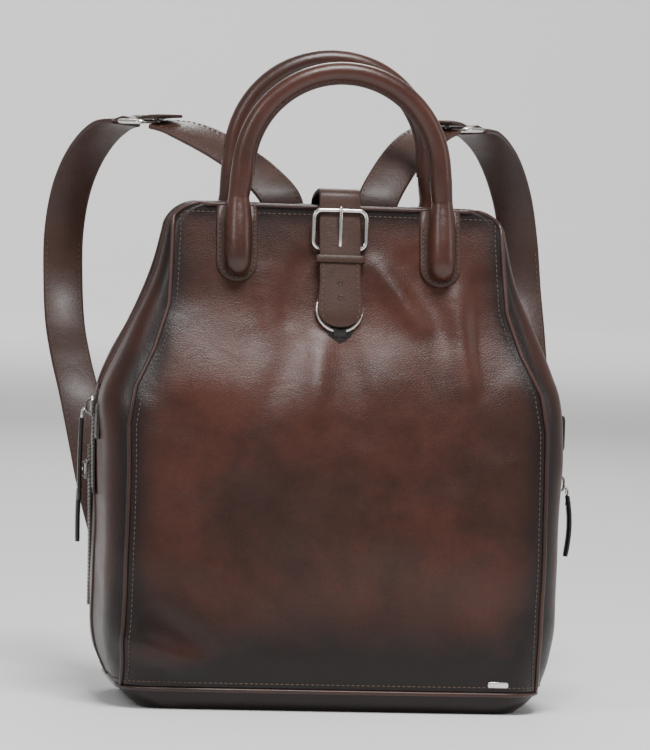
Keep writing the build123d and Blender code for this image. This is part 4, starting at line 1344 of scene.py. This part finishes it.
INNER_FINISHES = {
    "lining_bag": lining_fabric, "inner_pocket": lining_fabric, "back_padding": foam_finish,
    "base_board": board_finish,
    "front_frame_bar": steel, "rear_frame_bar": steel, "frame_pivot_pins": steel,
    "front_handle_core": rope_finish,
    "rear_handle_core": rope_finish, "snap_stud": nickel, "snap_socket": nickel, "closure_ring": nickel,
}
for node, finish in INNER_FINISHES.items():
    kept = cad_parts[node]
    if not kept.material_slots:
        kept.data.materials.append(finish)
    for material_slot in kept.material_slots:
        material_slot.material = finish
print("inner finishes", len(INNER_FINISHES))

# %% [markdown]
# ## Stand, light and camera
# The bag stands on a pale floor that curves up into a pale wall, so no edge shows behind it. A large
# soft light overhead gives the sheen on the upper panel, a second one to the left models the front, and
# a weak one on the right keeps the dark side readable.

# %% Floor, lights, camera
WALL, CURVE = 9.0, 2.5
profile = [(-9.0, 0.0), (WALL - CURVE, 0.0)]
profile += [(WALL - CURVE + math.sin(math.radians(a)) * CURVE, CURVE - math.cos(math.radians(a)) * CURVE)
            for a in range(6, 91, 6)]
profile.append((WALL, 9.0))
backdrop_points = [(x, y, z) for y, z in profile for x in (-12.0, 12.0)]
backdrop = new_object("pale_backdrop", backdrop_points, grid_faces(len(profile), 2, flip=True), None)
paper = Recipe("pale_studio_paper")
paper_tone = paper.noise(1.5, 2.0)
paper.finish(paper.mix(paper_tone, (0.80, 0.80, 0.80, 1), (0.84, 0.84, 0.83, 1)), 0.85 + paper_tone * 0.05)
backdrop.data.materials.clear()
backdrop.data.materials.append(paper.material)

TARGET = Vector((0, 0.02, 0.221))


def area_light(name, place, size, power, aim=TARGET):
    lamp = bpy.data.lights.new(name, "AREA")
    lamp.shape = "RECTANGLE"
    lamp.size, lamp.size_y = size
    lamp.energy = power
    holder = bpy.data.objects.new(name, lamp)
    holder.location = place
    holder.rotation_euler = (Vector(aim) - Vector(place)).to_track_quat("-Z", "Y").to_euler()
    bpy.context.scene.collection.objects.link(holder)


area_light("softbox_overhead", (0.12, -0.95, 2.0), (0.9, 0.6), 52)
area_light("softbox_left", (-1.7, -1.3, 1.5), (0.4, 1.0), 13)
area_light("softbox_right", (1.9, -0.7, 1.0), (0.3, 1.2), 6)
area_light("softbox_back", (0.3, 2.3, 1.9), (1.2, 0.8), 26)
area_light("softbox_wall", (0.0, 4.2, 3.4), (5.0, 1.5), 240, (0.0, 9.0, 1.6))

world = bpy.data.worlds.new("pale_room")
world.use_nodes = True
world.node_tree.nodes["Background"].inputs["Color"].default_value = (1.0, 1.0, 1.0, 1)
world.node_tree.nodes["Background"].inputs["Strength"].default_value = 0.42
bpy.context.scene.world = world

AZIMUTH, ELEVATION, DISTANCE, ROLL = math.radians(-8), math.radians(3), 3.3, math.radians(2)
lens = bpy.data.cameras.new("studio_camera")
lens.lens = 268
lens.sensor_fit = "HORIZONTAL"
lens.sensor_width = 36
lens.clip_start, lens.clip_end = 0.05, 50
camera = bpy.data.objects.new("studio_camera", lens)
direction = Vector((math.sin(AZIMUTH) * math.cos(ELEVATION), -math.cos(AZIMUTH) * math.cos(ELEVATION),
                    math.sin(ELEVATION)))
camera.location = TARGET + direction * DISTANCE
turn = (TARGET - camera.location).to_track_quat("-Z", "Y")
camera.rotation_euler = (turn.to_matrix() @ Matrix.Rotation(ROLL, 3, "Z")).to_euler()
bpy.context.scene.collection.objects.link(camera)
bpy.context.scene.camera = camera
print("camera at", [round(c, 2) for c in camera.location])
